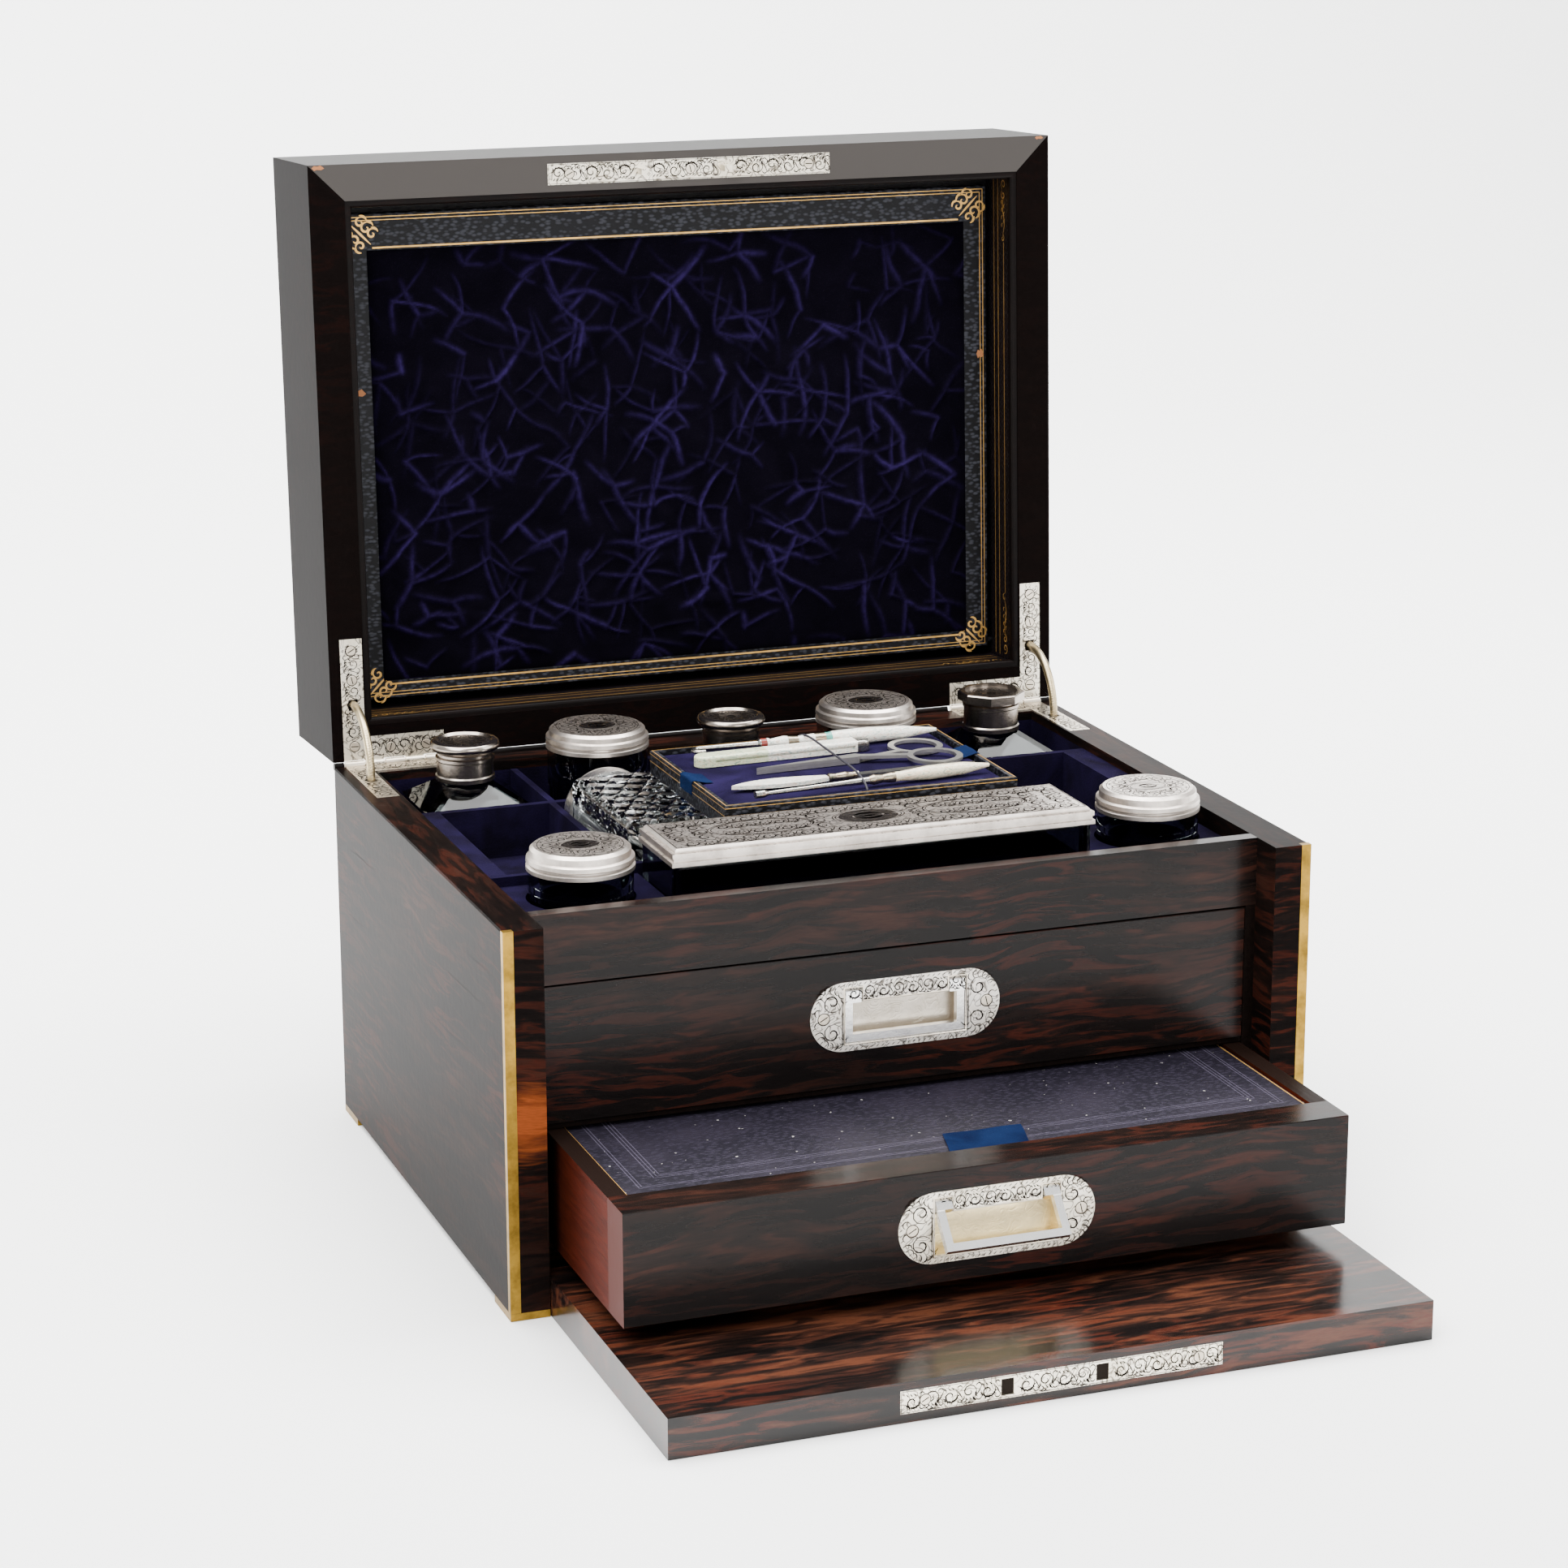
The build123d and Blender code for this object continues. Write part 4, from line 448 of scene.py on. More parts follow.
def cloth_grid(name, points, columns, material, body):
    """A smooth sheet through rows of points in mm."""
    form = bmesh.new()
    spots = [form.verts.new(point) for point in points]
    for start in range(0, len(spots) - columns, columns):
        for i in range(start, start + columns - 1):
            form.faces.new((spots[i], spots[i + 1], spots[i + columns + 1], spots[i + columns]))
    return finished(name, form, material, body, True)


def wire(name, paths, radius, material, body, closed=False):
    """Round wires or mouldings along paths in mm."""
    curve = bpy.data.curves.new(name, "CURVE")
    curve.dimensions = "3D"
    curve.bevel_depth = radius * MM
    curve.bevel_resolution = 2
    curve.use_fill_caps = not closed
    for path in paths:
        spline = curve.splines.new("POLY")
        spline.points.add(len(path) - 1)
        for point, spot in zip(spline.points, path):
            point.co = (*(Vector(spot) * MM), 1.0)
        spline.use_cyclic_u = closed
        spline.use_smooth = True
    curve.materials.append(material)
    return settled(name, curve, body)


def opened(x, y, z):
    """A point of the closed lid, in mm, where the open lid has it."""
    dy, dz = y - PIVOT_Y, z - PIVOT_Z
    return Vector((x, PIVOT_Y + dy * math.cos(LID_ANGLE) - dz * math.sin(LID_ANGLE),
                   PIVOT_Z + dy * math.sin(LID_ANGLE) + dz * math.cos(LID_ANGLE)))


# The way that the open lid's mouth looks
LID_FACING = opened(0, 0, 0) - opened(0, 0, 1)


def on_lid(middle_y, depth=0.0):
    """Places on a face of the lid that looks out of its mouth: v runs to the lid's front."""
    return lambda u, v: opened(u, middle_y - v, LID_Z + depth - LIFT)


def on_flat(origin, along, up):
    """Places on a flat face, from its middle and its two directions."""
    start, u_way, v_way = Vector(origin), Vector(along), Vector(up)
    normal = u_way.cross(v_way).normalized()
    return lambda u, v: start + u_way * u + v_way * v + normal * LIFT


def round_band(centre, radius):
    """Places on a level ring: u runs round it and v outwards."""
    middle = Vector(centre) + Vector((0, 0, LIFT))
    return lambda u, v: middle + Vector((math.cos(u / radius), math.sin(u / radius), 0)) * (radius + v)


def strokes(name, lines, place, width, material, body, taper=True):
    """Thin flat strokes along lines of (u, v) points, as one piece."""
    form = bmesh.new()
    for line in lines:
        last = len(line) - 1
        pairs = []
        for i, (u, v) in enumerate(line):
            before, after = line[max(i - 1, 0)], line[min(i + 1, last)]
            du, dv = after[0] - before[0], after[1] - before[1]
            size = math.hypot(du, dv) or 1.0
            half = width / 2 * (max(math.sin(math.pi * i / last), 0.12) ** 0.6 if taper else 1.0)
            pairs.append((form.verts.new(place(u - dv / size * half, v + du / size * half)),
                          form.verts.new(place(u + dv / size * half, v - du / size * half))))
        for (a, b), (c, d) in zip(pairs, pairs[1:]):
            form.faces.new((b, d, c, a))
    return finished(name, form, material, body)


def spiral(u, v, radius, start, turns, hand=1, steps=14):
    """A scroll that winds in from its outer end."""
    return [(u + math.cos(start + hand * 2 * math.pi * turns * i / steps) * radius * (1 - 0.82 * i / steps),
             v + math.sin(start + hand * 2 * math.pi * turns * i / steps) * radius * (1 - 0.82 * i / steps))
            for i in range(steps + 1)]


def arc(u, v, radius, start, end, steps=8, squeeze=1.0):
    """Points along an arc, which is a stretch of an ellipse where it is squeezed."""
    return [(u + math.cos(start + (end - start) * i / steps) * radius,
             v + math.sin(start + (end - start) * i / steps) * radius * squeeze) for i in range(steps + 1)]


def straight(start, end, steps=24):
    """Points along a straight line."""
    return [(start[0] + (end[0] - start[0]) * i / steps, start[1] + (end[1] - start[1]) * i / steps)
            for i in range(steps + 1)]


def outline(width, height, middle=(0.0, 0.0), corner=0.0):
    """The four sides of a rectangle, which stop short of its corners where those hold an ornament."""
    w, h = width / 2, height / 2
    (x, y), c = middle, corner
    return [straight((x - w + c, y - h), (x + w - c, y - h)),
            straight((x + w, y - h + c), (x + w, y + h - c)),
            straight((x + w - c, y + h), (x - w + c, y + h)),
            straight((x - w, y + h - c), (x - w, y - h + c))]


def scroll_band(length, height, pitch, chance, middle=(0.0, 0.0)):
    """Running leaf scrolls in a band: alternating spirals, with leaf strokes between them."""
    lines = []
    count = max(2, round(length / pitch))
    step = length / count
    for i in range(count):
        u = middle[0] - length / 2 + (i + 0.5) * step
        side = 1 if i % 2 else -1
        v = middle[1] + side * height * 0.06
        size = min(height, step) * 0.46
        lines.append(spiral(u, v, size, -side * math.pi / 2, 1.35, side))
        lines.append(spiral(u, v, size * 0.72, side * math.pi / 2, 0.9, side, 9))
        for turn in range(6):
            angle = side * (0.4 + turn * 0.45) + chance.uniform(-0.1, 0.1)
            lines.append(arc(u + math.cos(angle) * size * 1.15, v - side * math.sin(angle) * size * 0.95,
                             size * 0.38, angle + 1.9, angle + 4.1, 5))
        join = u + step / 2
        lines.append([(join - step * 0.2, v - side * height * 0.34), (join, middle[1]),
                      (join + step * 0.2, v + side * height * 0.32)])
        lines.append(arc(join, middle[1] + side * height * 0.3, height * 0.14, 0.0, math.pi * side, 6))
        lines.append(arc(join, middle[1] - side * height * 0.3, height * 0.12, 0.0, -math.pi * side, 6))
        for lean in (-0.2, 0.0, 0.2):
            foot = u + step * lean
            lines.append([(foot + 0.3 * k * side, v - side * height * (0.3 + 0.05 * k)) for k in range(4)])
    return lines


def screws(name, spots, facing, radius, body):
    """Slotted heads let in nearly flush, each in a dark ring."""
    heads, marks = bmesh.new(), bmesh.new()
    ring_rise, head_rise, slot_rise = 0.01, 0.035, 0.07
    slot_half_width = 0.22
    turned = Vector(facing).to_track_quat("Z", "Y").to_matrix().to_4x4()
    for number, spot in enumerate(spots):
        at = Matrix.Translation(spot) @ turned @ Matrix.Rotation(0.5 + 1.3 * number, 4, "Z")
        bmesh.ops.create_cone(heads, cap_ends=True, segments=20, radius1=radius, radius2=radius * 0.88,
                              depth=0.05, matrix=at @ Matrix.Translation((0, 0, head_rise)))
        bmesh.ops.create_circle(marks, cap_ends=True, segments=20, radius=radius * 1.16,
                                matrix=at @ Matrix.Translation((0, 0, ring_rise)))
        cut = Matrix.Diagonal((radius * 0.8, slot_half_width, 1, 1))
        bmesh.ops.create_grid(marks, x_segments=1, y_segments=1, size=1.0,
                              matrix=at @ Matrix.Translation((0, 0, slot_rise)) @ cut)
    finished(name + "_screws", heads, PLATE_METAL, body)
    finished(name + "_screw_marks", marks, ENGRAVED, body)


# ---------------------------------------------------------------- crushed velvet in the lid


def crease_lines(chance, half, near, far):
    """Creases that run out in bent lines from where the cloth is pinched, each with its half width, its
    height and how pale its crest is, which is partly wear and partly painted sheen."""
    creases = []
    pinch_gap, pinch_inset, steps = 15.5, 4, 12
    pinches = [(u, v) for v in np.arange(near + pinch_inset, far, pinch_gap)
               for u in np.arange(pinch_inset - half, half, pinch_gap)]
    for pinch_u, pinch_v in pinches:
        start = (pinch_u + chance.uniform(-8, 8), pinch_v + chance.uniform(-8, 8))
        heading = chance.uniform(0, 2 * math.pi)
        light = chance.uniform(0.3, 1.0) ** 1.6
        for arm in range(chance.randint(2, 4)):
            angle = heading + arm * chance.uniform(1.0, 2.2)
            length = chance.uniform(8, 28)
            bend = chance.uniform(-0.7, 0.7)
            u, v = start
            line = []
            for _ in range(steps + 1):
                line.append((u, v))
                angle += bend / steps + chance.uniform(-0.09, 0.09)
                u += math.cos(angle) * length / steps
                v += math.sin(angle) * length / steps
            creases.append((line, chance.uniform(0.6, 1.3), chance.uniform(0.7, 1.7),
                            light * chance.uniform(0.3, 1.0)))
    return creases


def crumple(grid_u, grid_v, creases):
    """Heights over the cloth, and how pale the crests are, from wear and from painted sheen: each crease is a
    thin rounded ridge that dies away at its ends.
    """
    rise, wear = np.zeros_like(grid_u), np.zeros_like(grid_u)
    for line, half_width, height, light in creases:
        (low_u, low_v), (high_u, high_v) = np.min(line, 0), np.max(line, 0)
        reach = 3 * half_width
        near = ((grid_u > low_u - reach) & (grid_u < high_u + reach)
                & (grid_v > low_v - reach) & (grid_v < high_v + reach))
        u, v = grid_u[near], grid_v[near]
        gap, along = np.full(u.shape, 99.0), np.zeros(u.shape)
        for i, ((u0, v0), (u1, v1)) in enumerate(zip(line, line[1:])):
            size = (u1 - u0) ** 2 + (v1 - v0) ** 2
            share = np.clip(((u - u0) * (u1 - u0) + (v - v0) * (v1 - v0)) / size, 0, 1)
            away = np.hypot(u - u0 - share * (u1 - u0), v - v0 - share * (v1 - v0))
            along = np.where(away < gap, (i + share) / (len(line) - 1), along)
            gap = np.minimum(away, gap)
        fade = np.sin(math.pi * (0.3 + 0.7 * along)) ** 0.9
        ridge = np.clip(fade, 0, 1) * np.exp(-(gap / half_width) ** 2)
        rise[near] = np.maximum(rise[near], height * ridge)
        wear[near] = np.maximum(wear[near], light * ridge)
    return rise, wear


def ruched_panel():
    """Crushed silk velvet: a softly swelling sheet with bent, branching creases that stand on it."""
    side_margin, back_margin, front_margin = 11.2, 8.2, 16.0
    edge_rise, tallest = 0.2, 3.9
    half = PANEL_HALF - side_margin
    near, far = PANEL_NEAR + back_margin, PANEL_FAR - front_margin
    columns, rows = ((372, 252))
    grid_u, grid_v = np.meshgrid(np.linspace(-half, half, columns), np.linspace(near, far, rows))
    chance = random.Random(7)
    swell = np.zeros_like(grid_u)
    for _ in range(150):
        u0, v0 = chance.uniform(-half, half), chance.uniform(near, far)
        reach, turn, height = chance.uniform(7, 22), chance.uniform(0, math.pi), chance.uniform(0.3, 1.4)
        along = (grid_u - u0) * math.cos(turn) + (grid_v - v0) * math.sin(turn)
        across = (grid_v - v0) * math.cos(turn) - (grid_u - u0) * math.sin(turn)
        swell = np.maximum(swell, height * np.exp(-(along / reach) ** 2 - (across / reach * 2.4) ** 2))
    rise, wear = crumple(grid_u, grid_v, crease_lines(chance, half, near, far))
    edge = np.minimum.reduce((grid_u + half, half - grid_u, grid_v - near, far - grid_v))
    roll = np.clip(edge / 5.0, 0, 1)
    height = np.sqrt(1 - (1 - roll) ** 2) + (swell + rise) * np.clip(edge / 8.0, 0, 1)
    face = LID_Z + PANEL_DEPTH - edge_rise
    spots = [opened(u, BACK_Y - v, face - min(h, tallest))
             for u, v, h in zip(grid_u.ravel(), grid_v.ravel(), height.ravel())]
    made = cloth_grid("ruched_velvet", spots, columns, RUCHED_VELVET, "lid_panel")
    made.data.flip_normals()
    # The ridge attribute pales the crests, partly as wear and partly as painted sheen.
    ridge = made.data.attributes.new("ridge", "FLOAT", "POINT")
    ridge.data.foreach_set("value", wear.ravel().astype(np.float32))
    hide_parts("panel_pad")


ruched_panel()


# ---------------------------------------------------------------- gilt tooling


def fleuron(u, v, size, hand_u, hand_v):
    """A gilt corner ornament that fills a rounded square: a stem with three pairs of curling petals."""
    lines = [[(u + hand_u * r, v + hand_v * r) for r in np.linspace(-0.72 * size, 0.5 * size, 8)]]
    for place, petal in ((-0.45, 0.34), (-0.1, 0.4), (0.25, 0.36)):
        for side in (-1, 1):
            at_u = u + hand_u * size * (place + side * 0.36)
            at_v = v + hand_v * size * (place - side * 0.36)
            turn = math.atan2(-hand_v * side, hand_u * side)
            lines.append(spiral(at_u, at_v, petal * size, turn, 1.05, side * hand_u * hand_v, 12))
            lines.append(arc(at_u, at_v, petal * size * 1.15, turn - 0.5, turn + 0.9, 6))
    return lines


def sprig(u, v, hand, length):
    """A gilt sprig: two scrolls, then a stem with small leaves that ends in a loop."""
    lines = [spiral(u, v, 2.6, 0.5, 1.2, hand), spiral(u + hand * 4.6, v + 0.4, 2.2, 2.6, 1.2, -hand)]
    lines.append([(u + hand * (6 + (length - 6) * i / 10), v + math.sin(i * 0.75) * 1.0) for i in range(11)])
    for i in range(7):
        at = u + hand * (8 + (length - 12) * i / 7)
        lines.append(arc(at, v + (-1) ** i * 1.2, 0.9, 0.4, 3.4, 5))
    lines.append(spiral(u + hand * length, v + 1.0, 1.9, 3.4, 0.9, hand, 10))
    return lines


def lid_tooling():
    """Two fine lines at the panel's edge, a brighter one by the velvet, and a fleuron in each corner."""
    middle_y = BACK_Y - (PANEL_NEAR + PANEL_FAR) / 2
    place = on_lid(middle_y, PANEL_DEPTH)
    width, height = 2 * PANEL_HALF, PANEL_FAR - PANEL_NEAR
    inner = (2 * 138.2, 191.6, (0.0, -4.2))
    fine = outline(width - 3.6, height - 3.2) + outline(width - 6.4, height - 6.0)
    strokes("panel_edge_lines", fine, place, 0.32, GILDING, "lid_panel", False)
    strokes("panel_inner_line", outline(*inner, corner=1.5), place, 0.75, GILDING, "lid_panel",
            False)
    petals = []
    for hand_u in (-1, 1):
        for hand_v, in_v in ((-1, 5.6), (1, 8.2)):
            petals += fleuron(hand_u * (PANEL_HALF - 8.0), hand_v * (height / 2 - in_v), 7.2, hand_u, hand_v)
    strokes("panel_fleurons", petals, place, 0.95, GILDING, "lid_panel")


def wall_tooling():
    """Lines and corner sprigs on the leather walls of the lid's well."""
    x_wall = HALF_WIDTH - WELL_WALL
    y_wall = BACK_Y - WELL_WALL
    line_heights, band_middle = (5.2, 18.0, 22.6), 11.6
    sprig_start, sprig_length, clear = 5, 24, 31
    for name, reach, place in (
        ("hinge", x_wall, lambda u, v: opened(u, y_wall - LIFT, LID_Z + v)),
        ("front", x_wall, lambda u, v: opened(u, LIFT - y_wall, LID_Z + v)),
        ("left", y_wall, lambda u, v: opened(LIFT - x_wall, u, LID_Z + v)),
        ("right", y_wall, lambda u, v: opened(x_wall - LIFT, u, LID_Z + v)),
    ):
        lines = [straight((-reach + 1.5, v), (reach - 1.5, v)) for v in line_heights]
        lines.append(straight((-reach + clear, band_middle), (reach - clear, band_middle)))
        strokes(f"well_{name}_lines", lines, place, 0.42, GILDING, "lid", False)
        sprigs = sprig(-reach + sprig_start, band_middle, 1, sprig_length)
        sprigs += sprig(reach - sprig_start, band_middle, -1, sprig_length)
        strokes(f"well_{name}_sprigs", sprigs, place, 0.55, GILDING, "lid")


def board_tooling():
    """A gilt line at the edge of the drawer's leather board, and blind-tooled frames inside it."""
    blind_insets = (15, 17.6, 32, 35, 38)
    low, high = corners("leather_board")
    middle = (low + high) / 2
    place = on_flat((middle.x, middle.y, high.z), (1, 0, 0), (0, 1, 0))
    width, depth = high.x - low.x, high.y - low.y
    strokes("board_gilt_line", outline(width - 1.6, depth - 1.6), place, 0.6, GILDING, "lower_drawer",
            False)
    blind = [line for inset in blind_insets for line in outline(width - inset, depth - inset)]
    strokes("board_blind_lines", blind, place, 0.4, BLIND_LINE, "lower_drawer", False)


def tray_tooling():
    """Gilt lines round the manicure tray's top, and along its front and left side."""
    low, high = corners("tray_case")
    middle = (low + high) / 2
    width, depth = high.x - low.x, high.y - low.y
    top = on_flat((middle.x, middle.y, high.z), (1, 0, 0), (0, 1, 0))
    front = on_flat((middle.x, low.y, high.z), (1, 0, 0), (0, 0, 1))
    left = on_flat((low.x, middle.y, high.z), (0, -1, 0), (0, 0, 1))
    strokes("tray_gilt_line", outline(width - 1.4, depth - 1.4), top, 0.35, GILDING, "manicure_tray",
            False)
    for name, place, length in (("front", front, width), ("left", left, depth)):
        lines = [straight((-length / 2, v), (length / 2, v)) for v in (-1.2, -4.4)]
        strokes(f"tray_{name}_lines", lines, place, 0.25, GILDING, "manicure_tray", False)


lid_tooling()
wall_tooling()
board_tooling()
tray_tooling()


# ---------------------------------------------------------------- engraved plates


def lock_plates():
    """Scrolls, a border and screws on both lock plates, and painted shadow in the flap lock's slots: a dark
    sheet on the floor of each.
    """
    chance = random.Random(3)
    slots, clear, inset = (-22.5, 15.6), 4, 8
    flap_y = corners("flap_lock")[0].y
    ends = (-LOCK_LENGTH / 2 + 1, slots[0] - clear, slots[0] + clear, slots[1] - clear, slots[1] + clear,
            LOCK_LENGTH / 2 - 1)
    for name, place, body, facing, at in (
        ("lid_lock", lambda u, v: opened(u, FRONT_Y + inset + v, LID_Z - LIFT), "lid", LID_FACING,
         (-55.0, 0.0, 55.0)),
        ("flap_lock", on_flat((0, flap_y, inset), (1, 0, 0), (0, 0, 1)), "flap", (0, -1, 0),
         (-55.0, 55.0)),
    ):
        lines = []
        for start, end in zip(ends[::2], ends[1::2]):
            lines += scroll_band(end - start, LOCK_WIDTH - 1.4, 7.0, chance, ((start + end) / 2, 0))
        strokes(f"{name}_scrolls", lines, place, 0.5, ENGRAVED, body)
        strokes(f"{name}_border", outline(LOCK_LENGTH - 0.8, LOCK_WIDTH - 0.8), place, 0.2, ENGRAVED, body,
                False)
        screws(name, [place(u, 0) for u in at], facing, 2.0, body)
    # Painted shadow: a dark sheet on each slot's floor, where the slot's inside lies in shade.
    slot_shadows = bmesh.new()
    slot_depth, half_long, half_wide = 0.6, 3.2, 3.0
    for u in slots:
        at = Matrix.Translation((u, flap_y + slot_depth, inset)) @ Matrix.Rotation(math.pi / 2, 4, "X")
        bmesh.ops.create_grid(slot_shadows, x_segments=1, y_segments=1, size=1.0,
                              matrix=at @ Matrix.Diagonal((half_long, half_wide, 1, 1)))
    finished("flap_lock_slot_shadows", slot_shadows, ENGRAVED, "flap")


def hinge_plates():
    """Scrolls and screws on both legs of each right-angled hinge leaf, in the case and in the lid."""
    chance = random.Random(5)
    outer = HALF_WIDTH - 5
    screws_forward, screws_inward = (48.8, 35.8, 6.5), (21, 37)
    for hand, side in ((-1, "left"), (1, "right")):
        leg_x, across_x = hand * (outer - 4.9), hand * (outer - 27)
        long_y, across_y = BACK_Y - 31, BACK_Y - 5.2
        spots = [(leg_x, BACK_Y - d) for d in screws_forward]
        spots += [(hand * (outer - d), across_y) for d in screws_inward]
        for name, place, body, facing in (
            ("case_hinge", lambda u, v: Vector((u, v, RIM_Z + LIFT)), "case", (0, 0, 1)),
            ("lid_hinge", lambda u, v: opened(u, v, LID_Z - LIFT), "lid", LID_FACING),
        ):
            along = [[(leg_x + v, long_y + u) for u, v in line] for line in scroll_band(42, 8.2, 6.2, chance)]
            across = scroll_band(34, 8.4, 6.6, chance, (across_x, across_y))
            strokes(f"{name}_{side}_scrolls", along + across, place, 0.42, ENGRAVED, body)
            screws(f"{name}_{side}", [place(u, v) for u, v in spots], facing, 2.1, body)


def handle_plates():
    """Leaf scrolls all over the plates, a roped edge, and a raised frame round each finger pan."""
    chance = random.Random(11)
    plate_length, plate_height, rope_inset, rope_marks = 81, 28.6, 1.0, 84
    corner_u, screw_u = 31.2, 34.8
    for drawer in ("upper", "lower"):
        low, high = corners(f"{drawer}_handle_plate")
        place = on_flat((0, low.y, (low.z + high.z) / 2), (1, 0, 0), (0, 0, 1))
        body = f"{drawer}_drawer"
        lines = scroll_band(50, 6.0, 6.2, chance, (0, 9.6))
        for hand in (-1, 1):
            for v, turn in ((6.4, 1), (-6.4, -1)):
                lines.append(spiral(hand * corner_u, v, 4.6, 0.0, 1.5, hand * turn))
                lines.append(spiral(hand * corner_u, v, 3.2, math.pi, 1.0, hand * turn, 10))
                for fan in range(8):
                    angle = (0.1 + fan * 0.4) * turn
                    lines.append(arc(hand * (corner_u + math.cos(angle) * 5.4), v + math.sin(angle) * 5.2,
                                     1.7, angle, angle + 2.6, 5))
            lines += [arc(hand * 37.2, v, 1.5, 0.6, 4.4, 6) for v in (-2.6, 2.6)]
            lines.append(straight((hand * 26.9, -12), (hand * 26.9, 8), 12))
        strokes(f"{drawer}_handle_scrolls", lines, place, 0.5, ENGRAVED, body)
        rope = []
        for number in range(rope_marks):
            u, v = on_stadium(number / rope_marks, plate_length / 2 - rope_inset,
                              plate_height / 2 - rope_inset)
            rope.append([(u - 0.6, v - 0.5), (u, v), (u + 0.6, v + 0.5)])
        strokes(f"{drawer}_handle_rope", rope, place, 0.4, ENGRAVED, body)
        leaves = [arc(u, -12.6, 1.2, 0.3, 2.8, 5) for u in np.arange(-24, 25, 2.2)]
        strokes(f"{drawer}_handle_leaves", leaves, place, 0.36, ENGRAVED, body)
        frame_half, notch_half, bottom, notch_top, ear_top = 26.1, 18.3, -11.6, 6.1, 11.9
        path = [(-frame_half, bottom), (frame_half, bottom), (frame_half, ear_top), (notch_half, ear_top),
                (notch_half, notch_top), (-notch_half, notch_top), (-notch_half, ear_top),
                (-frame_half, ear_top)]
        wire(f"{drawer}_handle_frame", [[place(u, v) for u, v in path]], 0.4, PLATE_METAL, body,
             True)
        screws(f"{drawer}_handle", [place(hand * screw_u, 0) for hand in (-1, 1)], (0, -1, 0), 2.3, body)


def on_stadium(share, reach, half):
    """A point round a stadium outline: two half circles joined by straight sides."""
    straight_side = 2 * (reach - half)
    quarter = math.pi * half
    d = share * 2 * (straight_side + quarter)
    side = 1 if d < straight_side + quarter else -1
    d -= 0 if side == 1 else straight_side + quarter
    if d < straight_side:
        return side * (d - straight_side / 2), side * half
    turn = (d - straight_side) / half
    return side * (straight_side / 2 + math.sin(turn) * half), side * math.cos(turn) * half


def round_lids():
    """A plain cartouche in a ring of leaf scrolls on each round top, and a fine line at its rim."""
    chance = random.Random(13)
    tops = [(name, 4.0, 0.0) for name in ("jar_left_lid", "jar_right_lid", "pot_left_lid", "pot_right_lid")]
    tops += [("bottle_left_cap", 4.2, 1.0), ("bottle_small_cap", 4.2, 1.0), ("bottle_right_cap", 3.6, 1.4)]
    for name, rim, dish in tops:
        low, high = corners(name)
        reach = (high.x - low.x) / 2 - rim
        centre = ((low.x + high.x) / 2, (low.y + high.y) / 2, high.z - dish)
        ring = reach * 0.7
        lines = scroll_band(2 * math.pi * ring, reach * 0.5, reach * 0.36, chance)
        strokes(f"{name}_scrolls", lines, round_band(centre, ring), 0.46, ENGRAVED, name)
        rings = [arc(0, 0, reach * 0.44, 0, 2 * math.pi, 32, 0.62),
                 arc(0, 0, reach * 0.5, 0, 2 * math.pi, 32, 0.66),
                 arc(0, 0, reach * 0.97, 0, 2 * math.pi, 48)]
        level = on_flat(centre, (1, 0, 0), (0, 1, 0))
        strokes(f"{name}_cartouche", rings, level, 0.3, ENGRAVED, name, False)
        plain = [[(u * share, v * share) for u, v in arc(0, 0, reach * 0.43, 0, 2 * math.pi, 32, 0.62)]
                 for share in (0.25, 0.75)]
        strokes(f"{name}_plain_oval", plain, level, reach * 0.22, SILVER, name, False)


def box_lid():
    """Three ovals among dense scrolls: a plain one between two that are filled."""
    chance = random.Random(17)
    low, high = corners("long_box_lid")
    middle = (low + high) / 2
    place = on_flat((middle.x, middle.y, high.z), (1, 0, 0), (0, 1, 0))
    lines = []
    for v in (-13.6, 13.6):
        lines += scroll_band(168, 8.4, 8.0, chance, (0, v))
    for u in (-82.0, -71.5, 71.5, 82.0, -21.5, 21.5):
        lines += [[(u + b, a) for a, b in line] for line in scroll_band(21, 8.6, 7.0, chance)]
    for u in (-46.0, 46.0):
        for v in (-4.6, 4.6):
            lines += scroll_band(36, 6.4, 6.4, chance, (u, v))
    strokes("box_lid_scrolls", lines, place, 0.6, ENGRAVED, "long_box_lid")
    ovals = []
    for u, wide, squeeze in ((-46.0, 21.0, 0.46), (46.0, 21.0, 0.46), (0.0, 14.0, 0.56)):
        for extra in (0.0, 1.3):
            ovals.append([(u + a, b) for a, b in arc(0, 0, wide + extra, 0, 2 * math.pi, 36, squeeze)])
    ovals += outline(high.x - low.x - 6.0, high.y - low.y - 6.0)
    strokes("box_lid_cartouches", ovals, place, 0.4, ENGRAVED, "long_box_lid", False)
    plain = [[(u * share, v * share) for u, v in arc(0, 0, 13.0, 0, 2 * math.pi, 36, 0.56)]
             for share in (0.25, 0.75)]
    strokes("box_lid_plain_oval", plain, place, 5.6, SILVER, "long_box_lid", False)


lock_plates()
hinge_plates()
handle_plates()
round_lids()
box_lid()


# ---------------------------------------------------------------- stays, soft pieces and cord


def stay_ropes():
    """The roped rims of the quadrant stays: three strands wound round each rim."""
    outside, sunk, reach = 28.5, 1.7, 1.3
    first, sweep, turns, steps = -44, 92, 13, 200
    for hand, side in ((-1, "left"), (1, "right")):
        strands = []
        for strand in range(3):
            path = []
            for i in range(steps + 1):
                angle = math.radians(first + sweep * i / steps)
                twist = 2 * math.pi * (i / steps * turns + strand / 3)
                radius = outside - sunk + reach * math.cos(twist)
                path.append((hand * (HALF_WIDTH - 10) + reach * math.sin(twist),
                             PIVOT_Y - radius * math.cos(angle), PIVOT_Z + radius * math.sin(angle)))
            strands.append(path)
        wire(f"stay_{side}_strands", strands, 0.5, GILT_METAL, f"stay_{side}")


